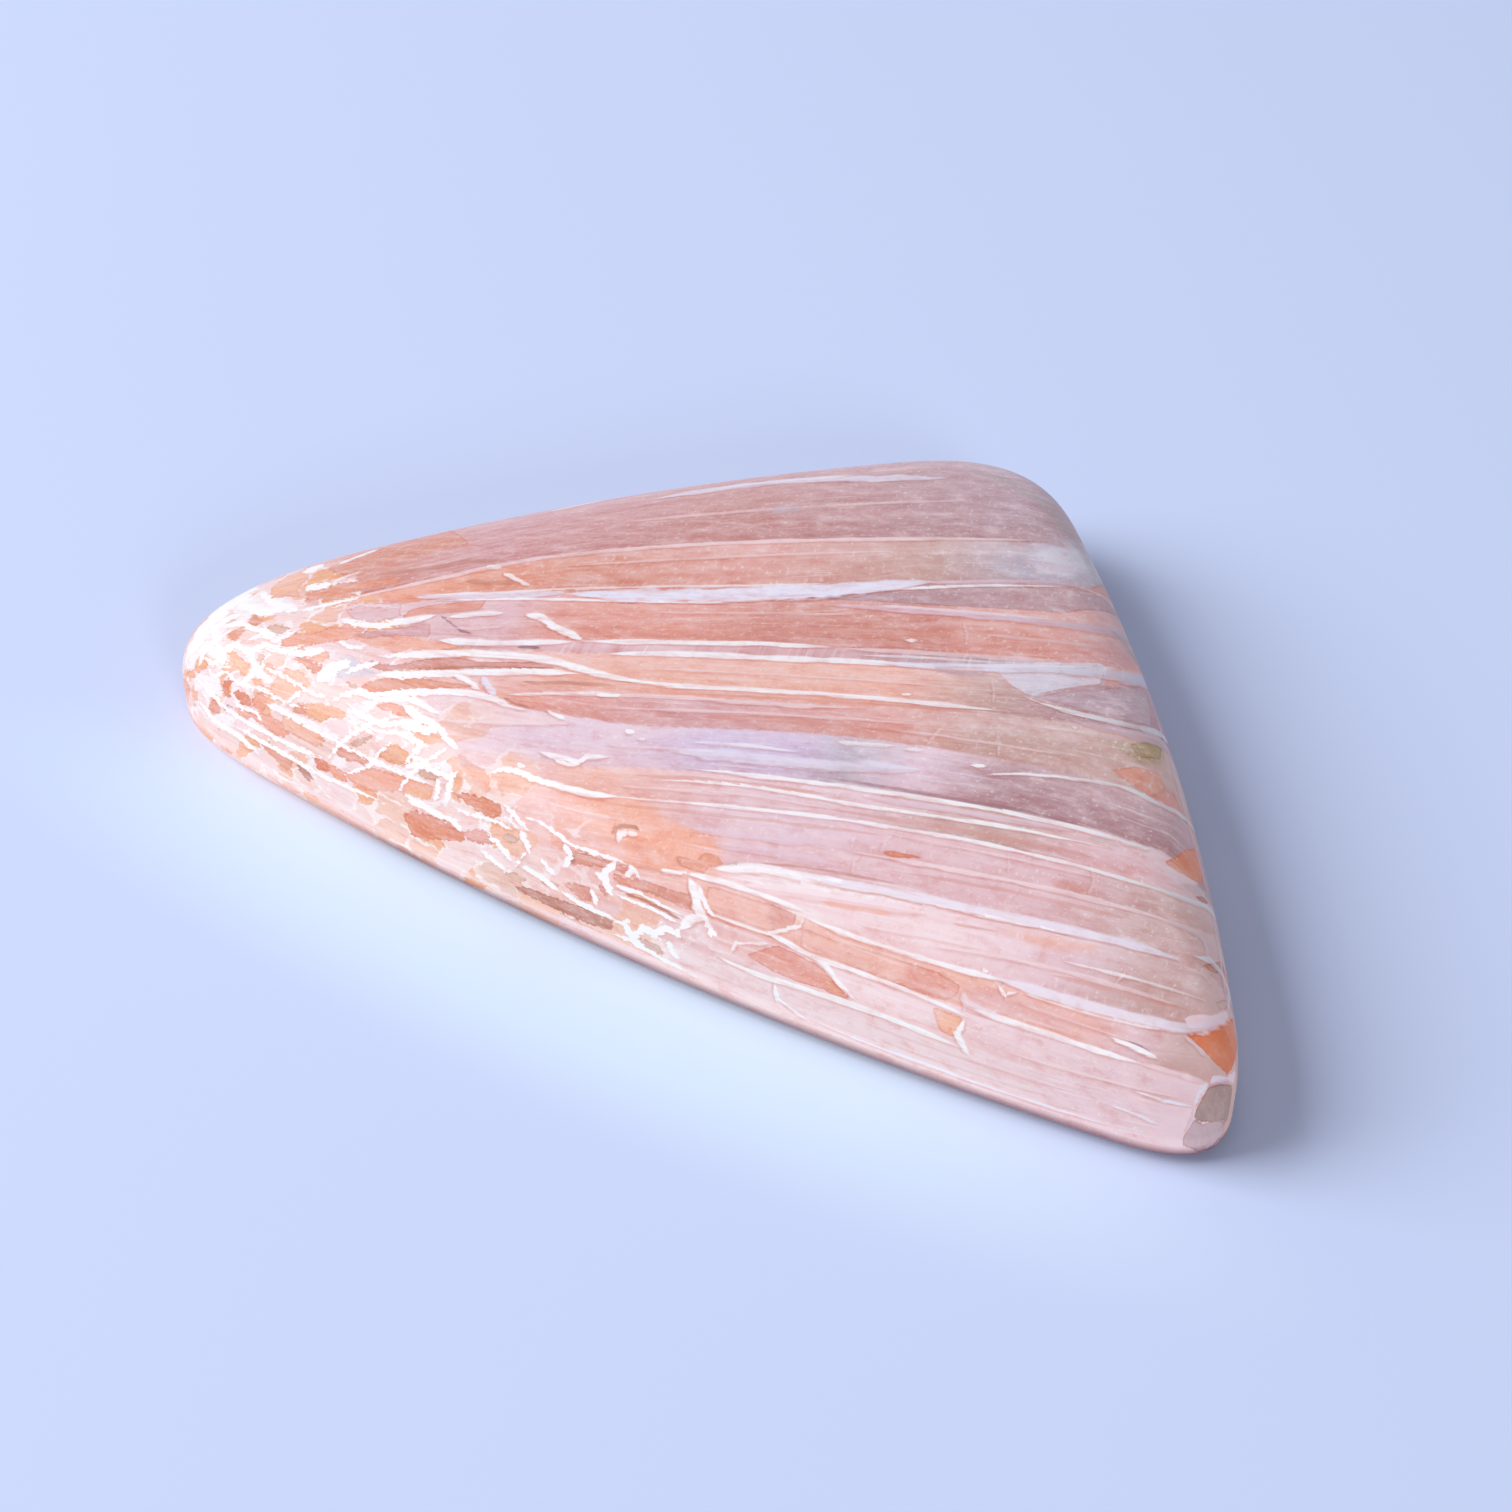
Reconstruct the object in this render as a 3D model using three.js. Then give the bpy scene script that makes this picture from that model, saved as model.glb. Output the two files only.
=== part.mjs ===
// A polished triangular cabochon of pink scolecite: one piece of stone, in millimetres, +Z up.
// It lies on its flat back, with its long side along X, its blunt tip at -X, its sharp heel at +X
// and its third corner, the apex, at +Y. A short bevel rises from the back to the girdle, the
// girdle is a low upright band, and above it steep shoulders run into a shallow dome.
import * as THREE from "three";

// The triangle that the outline is rounded from: its corners, and how far each side bows out
const TIP = [-20.5, 0.1];
const HEEL = [20.2, 0];
const APEX = [1.4, 24.1];
const FRONT_BOW = 1.7;
const RIGHT_BOW = 1.3;
const BACK_BOW = 1.8;

// How far from each corner its rounding starts, and how much rounder it gets per millimetre inwards
const TIP_ROUNDING = 4.6;
const HEEL_ROUNDING = 2.9;
const APEX_ROUNDING = 3.0;
const ROUNDING_GROWTH = 0.35;

// Heights above the flat back, and how far the back's bevel reaches in
const GIRDLE_FOOT_HEIGHT = 0.4;
const GIRDLE_TOP_HEIGHT = 1.4;
const CROWN_HEIGHT = 5.8;
const BACK_BEVEL = 0.6;

// The dome's highest point, and the power of its profile: 2 is an ellipse, more is steeper shoulders
const CROWN = [1.1, 9.5];
const SHOULDER_POWER = 2.8;

// Facets: corners round the outline, and rings from the girdle to the crown
const SEGMENTS = 132;
const DOME_RINGS = 18;

// A side of the outline: the circle that passes through both corners and bows out by that much.
function sideArc(from, to, bow) {
  const start = new THREE.Vector2(...from);
  const end = new THREE.Vector2(...to);
  const chord = start.distanceTo(end);
  const radius = chord ** 2 / (8 * bow) + bow / 2;
  const along = end.clone().sub(start).divideScalar(chord);
  const inward = new THREE.Vector2(-along.y, along.x);
  const middle = start.clone().add(end).multiplyScalar(0.5);
  return { centre: middle.addScaledVector(inward, radius - bow), radius };
}

const FRONT = sideArc(TIP, HEEL, FRONT_BOW);
const RIGHT = sideArc(HEEL, APEX, RIGHT_BOW);
const BACK = sideArc(APEX, TIP, BACK_BOW);

function insetFrom(side, point) {
  return side.radius - side.centre.distanceTo(point);
}

// The lesser of two insets, eased where they are nearly equal, and the more so the larger they are.
function easedLeast(a, b, rounding) {
  const width = rounding + ROUNDING_GROWTH * Math.max((a + b) / 2, 0);
  const share = Math.max(width - Math.abs(a - b), 0) / width;
  return Math.min(a, b) - (share * share * width) / 4;
}

// How far a point of the plan lies inside the rounded outline: 0 on it, and negative outside.
function insetAt(point) {
  const front = insetFrom(FRONT, point);
  const right = insetFrom(RIGHT, point);
  const back = insetFrom(BACK, point);
  return Math.min(
    easedLeast(front, back, TIP_ROUNDING),
    easedLeast(front, right, HEEL_ROUNDING),
    easedLeast(right, back, APEX_ROUNDING),
  );
}

const CROWN_POINT = new THREE.Vector2(...CROWN);
const CROWN_INSET = insetAt(CROWN_POINT);

// The point at one inset from the outline, in one direction from the crown.
function planPoint(angle, inset) {
  const direction = new THREE.Vector2(Math.cos(angle), Math.sin(angle));
  let near = 0;
  let far = 30;
  for (let halving = 0; halving < 40; halving++) {
    const middle = (near + far) / 2;
    const inside = insetAt(CROWN_POINT.clone().addScaledVector(direction, middle)) > inset;
    if (inside) near = middle;
    else far = middle;
  }
  return CROWN_POINT.clone().addScaledVector(direction, near);
}

// Directions from the crown that space the facets by length, and closer where the outline turns.
function facetAngles(count) {
  const samples = 1440;
  const turnWeight = 3; // a radian of turn counts as this many millimetres
  const angleAt = (i) => (2 * Math.PI * i) / samples;
  const outline = Array.from({ length: samples }, (_, i) => planPoint(angleAt(i), 0));
  const step = (i) => outline[(i + 1) % samples].clone().sub(outline[i % samples]);
  const travelled = [0];
  for (let i = 0; i < samples; i++) {
    const turn = Math.abs(step(i).cross(step(i + 1))) / (step(i).length() * step(i + 1).length());
    travelled.push(travelled[i] + step(i).length() + turnWeight * turn);
  }
  const angles = [];
  let i = 0;
  for (let facet = 0; facet < count; facet++) {
    const wanted = (travelled[samples] * facet) / count;
    while (travelled[i + 1] < wanted) i++;
    const share = (wanted - travelled[i]) / (travelled[i + 1] - travelled[i]);
    angles.push(angleAt(i + share));
  }
  return angles;
}

// The section from the back's edge up to the last ring below the crown, as inset and height.
function sectionRings() {
  const rings = [
    { inset: BACK_BEVEL, height: 0 },
    { inset: 0, height: GIRDLE_FOOT_HEIGHT },
  ];
  const rise = CROWN_HEIGHT - GIRDLE_TOP_HEIGHT;
  for (let ring = 0; ring < DOME_RINGS; ring++) {
    const turn = (Math.PI / 2) * (ring / DOME_RINGS);
    rings.push({
      inset: CROWN_INSET * (1 - Math.cos(turn) ** (2 / SHOULDER_POWER)),
      height: GIRDLE_TOP_HEIGHT + rise * Math.sin(turn) ** (2 / SHOULDER_POWER),
    });
  }
  return rings;
}

// The closed stone: a fan for the flat back, bands between the rings, and a fan at the crown.
function stoneGeometry() {
  const angles = facetAngles(SEGMENTS);
  const rings = sectionRings();
  const positions = [];
  for (const { inset, height } of rings) {
    for (const angle of angles) {
      const point = planPoint(angle, inset);
      positions.push(point.x, point.y, height);
    }
  }
  const backCentre = positions.length / 3;
  positions.push(CROWN_POINT.x, CROWN_POINT.y, 0);
  const crown = positions.length / 3;
  positions.push(CROWN_POINT.x, CROWN_POINT.y, CROWN_HEIGHT);

  const faces = [];
  const corner = (ring, segment) => ring * SEGMENTS + (segment % SEGMENTS);
  const place = (index) => new THREE.Vector3().fromArray(positions, 3 * index);
  const apart = (i, j) => place(i).distanceTo(place(j));
  const last = rings.length - 1;
  for (let s = 0; s < SEGMENTS; s++) {
    faces.push(backCentre, corner(0, s + 1), corner(0, s));
    for (let r = 0; r < last; r++) {
      // Each four-cornered cell is split along its shorter diagonal
      const cell = [corner(r, s), corner(r, s + 1), corner(r + 1, s + 1), corner(r + 1, s)];
      if (apart(cell[1], cell[3]) < apart(cell[0], cell[2])) cell.push(cell.shift());
      faces.push(cell[0], cell[1], cell[2], cell[0], cell[2], cell[3]);
    }
    faces.push(crown, corner(last, s), corner(last, s + 1));
  }

  const geometry = new THREE.BufferGeometry();
  geometry.setAttribute("position", new THREE.Float32BufferAttribute(positions, 3));
  geometry.setIndex(faces);
  geometry.computeVertexNormals();
  return geometry;
}

// Moves the stone so that the origin is under the middle of its plan, on the flat back.
function centreOnPlan(geometry) {
  geometry.computeBoundingBox();
  const middle = geometry.boundingBox.getCenter(new THREE.Vector3());
  geometry.translate(-middle.x, -middle.y, 0);
  return geometry;
}

const polishedScolecite = new THREE.MeshStandardMaterial({
  color: new THREE.Color(0.86, 0.62, 0.53),
  roughness: 0.2,
  metalness: 0,
});

const cabochon = new THREE.Mesh(centreOnPlan(stoneGeometry()), polishedScolecite);
cabochon.name = "cabochon";

const stone = new THREE.Group();
stone.add(cabochon);
export default stone;
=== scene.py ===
# The looks of a polished scolecite cabochon: one closed mesh over the CAD solid, with its fibres,
# seams, blades and crackle laid out on the surface, on a plain pale floor under soft light.
import math

import bpy
import numpy as np
from mathutils import Matrix, Vector


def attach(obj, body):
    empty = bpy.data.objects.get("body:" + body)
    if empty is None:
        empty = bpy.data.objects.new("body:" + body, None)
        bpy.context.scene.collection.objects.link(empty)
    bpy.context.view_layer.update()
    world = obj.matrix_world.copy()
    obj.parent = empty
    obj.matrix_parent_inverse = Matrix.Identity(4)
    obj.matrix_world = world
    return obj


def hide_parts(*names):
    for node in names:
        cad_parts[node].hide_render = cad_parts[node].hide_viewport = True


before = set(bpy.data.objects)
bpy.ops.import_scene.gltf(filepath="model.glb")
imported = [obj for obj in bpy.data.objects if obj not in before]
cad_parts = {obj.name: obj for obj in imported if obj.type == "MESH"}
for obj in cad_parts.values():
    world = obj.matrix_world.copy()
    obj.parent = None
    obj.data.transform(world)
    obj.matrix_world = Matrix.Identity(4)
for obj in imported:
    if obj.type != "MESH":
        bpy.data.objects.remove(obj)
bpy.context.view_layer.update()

MM = 0.001

# The camera, on the azimuth and elevation that the photograph was taken from: degrees, millimetres
CAMERA_AZIMUTH = 31.08
CAMERA_ELEVATION = 42.0
CAMERA_ANGLE = 28.0
CAMERA_DISTANCE = 99.42
CAMERA_TARGET = np.array([-1.254, -2.048, 0.0])
SENSOR_WIDTH = 36
PHOTO_SIDE = 1512

# The nearest that the camera sees, in metres
NEAREST_SEEN = 0.005

# The triangle that the outline is rounded from: its corners, and how far each side bows out
TIP = np.array([-20.5, 0.1])
HEEL = np.array([20.2, 0.0])
APEX = np.array([1.4, 24.1])
FRONT_BOW = 1.7
RIGHT_BOW = 1.3
BACK_BOW = 1.8

# How far from each corner its rounding starts, and how much rounder it gets per millimetre inwards
TIP_ROUNDING = 4.6
HEEL_ROUNDING = 2.9
APEX_ROUNDING = 3.0
ROUNDING_GROWTH = 0.35

# Heights above the flat back
GIRDLE_TOP_HEIGHT = 1.4
CROWN_HEIGHT = 5.8

# The dome's highest point, and the power of its profile
CROWN = np.array([1.1, 9.5])
SHOULDER_POWER = 2.8

# Further from the crown than any point of the outline
PAST_OUTLINE = 30.0

# Where a ray passes outside the outline, the surface it is held against falls by this much a millimetre
FALL_OUTSIDE = 3

# How many points lines are sampled at, and how often a search halves its span
OUTLINE_SAMPLES = 6001
LINE_SAMPLES = 4001
ROLLED_SAMPLES = 2001
RAY_LEVELS = 240
RING_HALVINGS = 48
RAY_HALVINGS = 20

# The mesh: rows across the fibres, columns along them, and how many of each make one on the back
ROWS = 280
COLUMNS = 268
BACK_ROW_STEP = 4
BACK_COLUMN_STEP = 4

# The mesh's left side runs this far to both sides of the tip, and its columns are this much denser
# there, which fades out over this length up to this x
TIP_SIDE_HALF = 2.2
TIP_DENSITY = 1.8
DENSITY_FADE = 4.0
DENSE_UP_TO = 0.0

# Steps from the dome's edge down the girdle and round the bevel, as inset and height
GIRDLE_RINGS = [
    (0.0, 1.2),
    (0.0, 1.0),
    (0.0, 0.8),
    (0.0, 0.62),
    (0.01, 0.46),
    (0.06, 0.37),
    (0.3, 0.2),
    (0.52, 0.05),
    (0.62, 0.0),
]
BACK_GRID_INSET = 0.9

# The light, in metres and watts
FLOOR_SIDE = 4.0
FLOOR_COLOUR = (0.62, 0.71, 0.97)
FLOOR_MOTTLE = (0.5, 0.6, 0.9)
FLOOR_MOTTLE_SCALE = 14.0
KEY_PLACE = (-0.43, -0.22, 0.36)
KEY_SIDE = 0.42
KEY_POWER = 4.12
FILL_PLACE = (0.415, -0.336, 0.249)
FILL_SIDE = 0.12
FILL_POWER = 0.7
LAMP_COLOUR = (0.99, 0.99, 1.0)
SKY_COLOUR = (0.97, 0.98, 1.06)
SKY_STRENGTH = 0.28

# How the floor's light is shared between the key, the fill and the sky
KEY_SHARE = 0.6
FILL_SHARE = 0.1
SKY_SHARE = 0.3

# A painted pool of light on the paper in front of the stone's front left edge: the middle and
# the half sizes, in metres
GLOW_MIDDLE = (-0.001, -0.0135, 0.0)
GLOW_HALVES = (0.026, 0.0055, 1.0)
GLOW_COLOUR = (0.68, 0.82, 1.0)


# Camera


def camera_axes():
    azimuth, elevation = math.radians(CAMERA_AZIMUTH), math.radians(CAMERA_ELEVATION)
    level = math.cos(elevation)
    back = np.array([math.sin(azimuth) * level, -math.cos(azimuth) * level, math.sin(elevation)])
    right = np.array([math.cos(azimuth), math.sin(azimuth), 0.0])
    return right, np.cross(back, right), back


def make_camera():
    right, up, back = camera_axes()
    data = bpy.data.cameras.new("camera")
    data.sensor_width = SENSOR_WIDTH
    data.lens = data.sensor_width / 2 / math.tan(math.radians(CAMERA_ANGLE / 2))
    data.clip_start = NEAREST_SEEN
    camera = bpy.data.objects.new("camera", data)
    eye = (CAMERA_TARGET + back * CAMERA_DISTANCE) * MM
    turned = np.eye(4)
    turned[:3] = np.column_stack([right, up, back, eye])
    camera.matrix_world = Matrix(turned.tolist())
    bpy.context.collection.objects.link(camera)
    bpy.context.scene.camera = camera


# The stone's shape, the same as the solid's


def side_arc(start, end, bow):
    """A side of the outline: the centre and radius of the circle that bows out by that much."""
    chord = np.linalg.norm(end - start)
    radius = chord**2 / (8 * bow) + bow / 2
    along = (end - start) / chord
    inward = np.array([-along[1], along[0]])
    return (start + end) / 2 + inward * (radius - bow), radius


FRONT = side_arc(TIP, HEEL, FRONT_BOW)
RIGHT = side_arc(HEEL, APEX, RIGHT_BOW)
BACK = side_arc(APEX, TIP, BACK_BOW)


def inset_from(side, plan):
    centre, radius = side
    return radius - np.hypot(plan[..., 0] - centre[0], plan[..., 1] - centre[1])


def eased_least(a, b, rounding):
    width = rounding + ROUNDING_GROWTH * np.maximum((a + b) / 2, 0)
    share = np.maximum(width - np.abs(a - b), 0) / width
    return np.minimum(a, b) - share * share * width / 4


def inset_at(plan):
    """How far points of the plan lie inside the rounded outline."""
    front, right, back = (inset_from(side, plan) for side in (FRONT, RIGHT, BACK))
    tip = eased_least(front, back, TIP_ROUNDING)
    heel = eased_least(front, right, HEEL_ROUNDING)
    apex = eased_least(right, back, APEX_ROUNDING)
    return np.minimum(np.minimum(tip, heel), apex)


def inward_at(plan):
    """The direction straight in from the outline."""
    step = 1e-3
    slope = [inset_at(plan + offset) - inset_at(plan - offset) for offset in step * np.eye(2)]
    slope = np.stack(slope, -1)
    return slope / np.maximum(np.linalg.norm(slope, axis=-1, keepdims=True), 1e-9)


CROWN_INSET = float(inset_at(CROWN))


def dome_height(inset):
    share = np.clip(inset / CROWN_INSET, 0, 1)
    rise = (1 - (1 - share) ** SHOULDER_POWER) ** (1 / SHOULDER_POWER)
    return GIRDLE_TOP_HEIGHT + (CROWN_HEIGHT - GIRDLE_TOP_HEIGHT) * rise


def ring(angles, inset):
    """The points at one inset from the outline, in these directions from the crown."""
    direction = np.stack([np.cos(angles), np.sin(angles)], -1)
    near, far = np.zeros(len(angles)), np.full(len(angles), PAST_OUTLINE)
    for _ in range(RING_HALVINGS):
        middle = (near + far) / 2
        inside = inset_at(CROWN + direction * middle[:, None]) > inset
        near, far = np.where(inside, middle, near), np.where(inside, far, middle)
    return CROWN + direction * near[:, None]


# The outline's length as a function of the direction from the crown, from the tip round by the heel
OUTLINE_ANGLES = math.pi + np.linspace(0, 2 * math.pi, OUTLINE_SAMPLES)
OUTLINE = ring(OUTLINE_ANGLES, 0.0)
OUTLINE_TRAVEL = np.concatenate([[0], np.cumsum(np.linalg.norm(np.diff(OUTLINE, axis=0), axis=1))])


def travel_towards(corner):
    direction = math.atan2(*(corner - CROWN)[::-1]) % (2 * math.pi)
    angle = direction if direction >= math.pi else direction + 2 * math.pi
    return np.interp(angle, OUTLINE_ANGLES, OUTLINE_TRAVEL)


def outline_points(travel, inset):
    length = OUTLINE_TRAVEL[-1]
    angles = np.interp(np.asarray(travel) % length, OUTLINE_TRAVEL, OUTLINE_ANGLES)
    return ring(angles, inset)


def patch_grid(u, s, inset):
    """A grid that fills the outline: u runs from the tip to the right side, s from front to back."""
    tip, heel, apex = (travel_towards(corner) for corner in (TIP, HEEL, APEX))
    length = OUTLINE_TRAVEL[-1]
    front_start, back_end = tip + TIP_SIDE_HALF, tip - TIP_SIDE_HALF + length
    front = outline_points(front_start + u * (heel - front_start), inset)
    back = outline_points(back_end + u * (apex - back_end), inset)
    right = outline_points(heel + s * (apex - heel), inset)
    left = outline_points(tip + TIP_SIDE_HALF - s * 2 * TIP_SIDE_HALF, inset)
    u, s = u[None, :, None], s[:, None, None]
    sides = (1 - s) * front + s * back + (1 - u) * left[:, None] + u * right[:, None]
    ends = (1 - u) * (1 - s) * front[0] + u * (1 - s) * front[-1]
    return sides - ends - (1 - u) * s * back[0] - u * s * back[-1]


def even_steps(count, line, tip_density=1.0):
    """Parameters that space points evenly over the dome along a line, but denser by the tip."""
    fine = (1 - np.cos(np.linspace(0, math.pi, LINE_SAMPLES))) / 2
    plan = line(fine)
    place = np.column_stack([plan, dome_height(inset_at(plan))])
    density = 1 + (tip_density - 1) * np.clip((DENSE_UP_TO - plan[1:, 0]) / DENSITY_FADE, 0, 1)
    steps = np.linalg.norm(np.diff(place, axis=0), axis=1) * density
    travel = np.concatenate([[0], np.cumsum(steps)])
    return np.interp(np.linspace(0, travel[-1], count + 1), travel, fine)


# The surface rolled out flat, so that the pattern runs down the shoulders without stretching


def rolled_out_excess():
    """How much further it is from the crown over the surface than in plan, against the inset."""
    inset = CROWN_INSET * (1 - np.cos(np.linspace(math.pi / 2, 0, ROLLED_SAMPLES)))
    length = np.hypot(np.diff(inset), np.diff(dome_height(inset)))
    travel = np.concatenate([[0], np.cumsum(length)])
    return inset[::-1], (travel - (CROWN_INSET - inset))[::-1]


EXCESS_INSET, EXCESS = rolled_out_excess()


def rolled_out(plan, drop=0.0):
    """Pattern coordinates of surface points; drop is how far below the dome's edge they are."""
    excess = np.interp(inset_at(plan), EXCESS_INSET, EXCESS) + drop
    return plan - inward_at(plan) * np.asarray(excess)[..., None]


# The middle of the plan, which the solid is centred on
CENTRE = (OUTLINE.min(axis=0) + OUTLINE.max(axis=0)) / 2


def surface_under(pixels):
    """The surface points that these pixels of the photograph show: plan, and drop below the dome's edge."""
    right, up, back = camera_axes()
    eye = CAMERA_TARGET + back * CAMERA_DISTANCE + np.append(CENTRE, 0)
    focal = PHOTO_SIDE / 2 / math.tan(math.radians(CAMERA_ANGLE / 2))
    pixels = np.asarray(pixels, float)
    across = (pixels[:, :1] - PHOTO_SIDE / 2) / focal
    down = (pixels[:, 1:] - PHOTO_SIDE / 2) / focal
    ray = across * right - down * up - back

    def at_height(height):
        return (eye + ray * ((height - eye[2]) / ray[:, 2])[:, None])[:, :2]

    def clearance(height):
        inset = inset_at(at_height(height))
        return height - np.where(inset > 0, dome_height(inset), GIRDLE_TOP_HEIGHT + FALL_OUTSIDE * inset)

    levels = np.linspace(CROWN_HEIGHT, 0, RAY_LEVELS)
    gaps = np.stack([clearance(np.full(len(ray), level)) for level in levels])
    below = gaps < 0
    first = np.where(below.any(axis=0), below.argmax(axis=0), gaps.argmin(axis=0))
    high, low = levels[np.maximum(first - 1, 0)], levels[first]
    for _ in range(RAY_HALVINGS):
        middle = (high + low) / 2
        above = clearance(middle) > 0
        high, low = np.where(above, middle, high), np.where(above, low, middle)
    plan = at_height(high)
    inset = inset_at(plan)
    plan = plan - inward_at(plan) * np.minimum(inset, 0)[:, None]
    drop = np.where(inset < 0, np.clip(GIRDLE_TOP_HEIGHT - high, 0, None), 0)
    return plan, drop


def under_pixels(pixels):
    return rolled_out(*surface_under(pixels))


# The closed mesh


def make_surface():
    """Vertices, faces and pattern coordinates of the stone, before it is centred."""
    ends_and_middle = np.array([0.0, 0.5, 1.0])
    u = even_steps(COLUMNS, lambda t: patch_grid(t, ends_and_middle, 0.0)[1], TIP_DENSITY)
    s = even_steps(ROWS, lambda t: patch_grid(ends_and_middle, t, 0.0)[:, 1])
    dome = patch_grid(u, s, 0.0)
    height = dome_height(inset_at(dome))
    height[[0, -1], :] = GIRDLE_TOP_HEIGHT
    height[:, [0, -1]] = GIRDLE_TOP_HEIGHT
    index = np.arange(dome.shape[0] * dome.shape[1]).reshape(dome.shape[:2])
    places = [np.dstack([dome, height]).reshape(-1, 3)]
    pattern = [rolled_out(dome).reshape(-1, 2)]
    faces = grid_faces(index)

    upper = grid_border(index)
    edge = dome.reshape(-1, 2)[upper]
    angles = np.arctan2(edge[:, 1] - CROWN[1], edge[:, 0] - CROWN[0])
    total = len(places[0])
    drop, before = 0.0, (0.0, GIRDLE_TOP_HEIGHT)
    for inset, level in GIRDLE_RINGS:
        plan = ring(angles, inset)
        drop += math.hypot(inset - before[0], level - before[1])
        before = (inset, level)
        places.append(np.column_stack([plan, np.full(len(plan), level)]))
        pattern.append(rolled_out(edge, np.full(len(edge), drop)))
        lower = total + np.arange(len(plan))
        faces += ring_faces(lower, upper)
        upper = lower
        total += len(plan)

    back_plan = patch_grid(u[::BACK_COLUMN_STEP], s[::BACK_ROW_STEP], BACK_GRID_INSET)
    back_index = total + np.arange(back_plan.shape[0] * back_plan.shape[1]).reshape(back_plan.shape[:2])
    places.append(np.dstack([back_plan, np.zeros(back_plan.shape[:2])]).reshape(-1, 3))
    pattern.append(back_plan.reshape(-1, 2))
    faces += [face[::-1] for face in grid_faces(back_index)]
    faces += stitch_faces(upper, grid_border(back_index))
    return np.concatenate(places), faces, np.concatenate(pattern)


def grid_faces(index):
    corners = np.stack([index[:-1, :-1], index[:-1, 1:], index[1:, 1:], index[1:, :-1]], -1)
    return corners.reshape(-1, 4).tolist()


def grid_border(index):
    """The grid's outermost vertices in order, anticlockwise from the front of the tip."""
    return np.concatenate([index[0, :-1], index[:-1, -1], index[-1, :0:-1], index[:0:-1, 0]])


def ring_faces(lower, upper):
    return np.stack([lower, np.roll(lower, -1), np.roll(upper, -1), upper], -1).tolist()


def stitch_faces(fine, coarse):
    """Faces between the bevel's fine ring and the back's coarser grid."""
    columns, rows = COLUMNS // BACK_COLUMN_STEP, ROWS // BACK_ROW_STEP
    steps = ([BACK_COLUMN_STEP] * columns + [BACK_ROW_STEP] * rows) * 2
    faces, start = [], 0
    for k, step in enumerate(steps):
        chain = [fine[(start + i) % len(fine)] for i in range(step + 1)]
        faces.append([int(v) for v in [*chain[::-1], coarse[k], coarse[(k + 1) % len(coarse)]]])
        start += step
    return faces


# The colours, as they look on screen


def on_screen(*rgb):
    """A screen colour, 0 to 255, as linear light."""
    share = np.array(rgb) / 255
    return np.where(share <= 0.04045, share / 12.92, ((share + 0.055) / 1.055) ** 2.4)


WHITE = on_screen(251, 246, 248)
GROUND = on_screen(246, 216, 209)
BLUE_WHITE = on_screen(234, 228, 242)
LIGHT_LILAC = on_screen(240, 228, 238)
PINK_WHITE = on_screen(243, 217, 219)
LILAC = on_screen(231, 205, 218)
LAVENDER = on_screen(213, 195, 223)
GREY_BLUE = on_screen(196, 187, 200)
SILVER = on_screen(216, 210, 222)
GREY_GREEN = on_screen(190, 182, 170)
MAUVE = on_screen(208, 157, 153)
GREY_MAUVE = on_screen(192, 166, 175)
DUSK = on_screen(187, 150, 156)
PLUM = on_screen(158, 115, 122)
PALE_PEACH = on_screen(247, 222, 225)
PEACH = on_screen(241, 187, 170)
PEACH_PINK = on_screen(227, 169, 158)
SALMON = on_screen(231, 163, 148)
RUSSET = on_screen(222, 155, 135)
RUST = on_screen(216, 151, 138)
BRICK = on_screen(241, 170, 142)
BRICK_PINK = on_screen(240, 188, 174)
ORANGE = on_screen(224, 132, 90)
HEEL_ORANGE = on_screen(220, 118, 68)
TERRACOTTA = on_screen(229, 155, 126)
APRICOT = on_screen(244, 186, 156)
TANGERINE = on_screen(240, 175, 130)
SAND = on_screen(220, 180, 158)
BROWN = on_screen(188, 124, 104)
TAN = on_screen(206, 172, 164)
OLIVE = on_screen(172, 146, 96)
PINK = on_screen(230, 192, 197)
PALE_PINK = on_screen(233, 204, 211)
FRONT_PINK = on_screen(237, 212, 216)
PRISM = on_screen(160, 134, 128)
PRISM_FOOT = on_screen(190, 166, 172)
ROSE = on_screen(218, 168, 170)
FRONT_ROSE = on_screen(229, 199, 205)
SHOULDER = on_screen(208, 174, 170)

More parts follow.
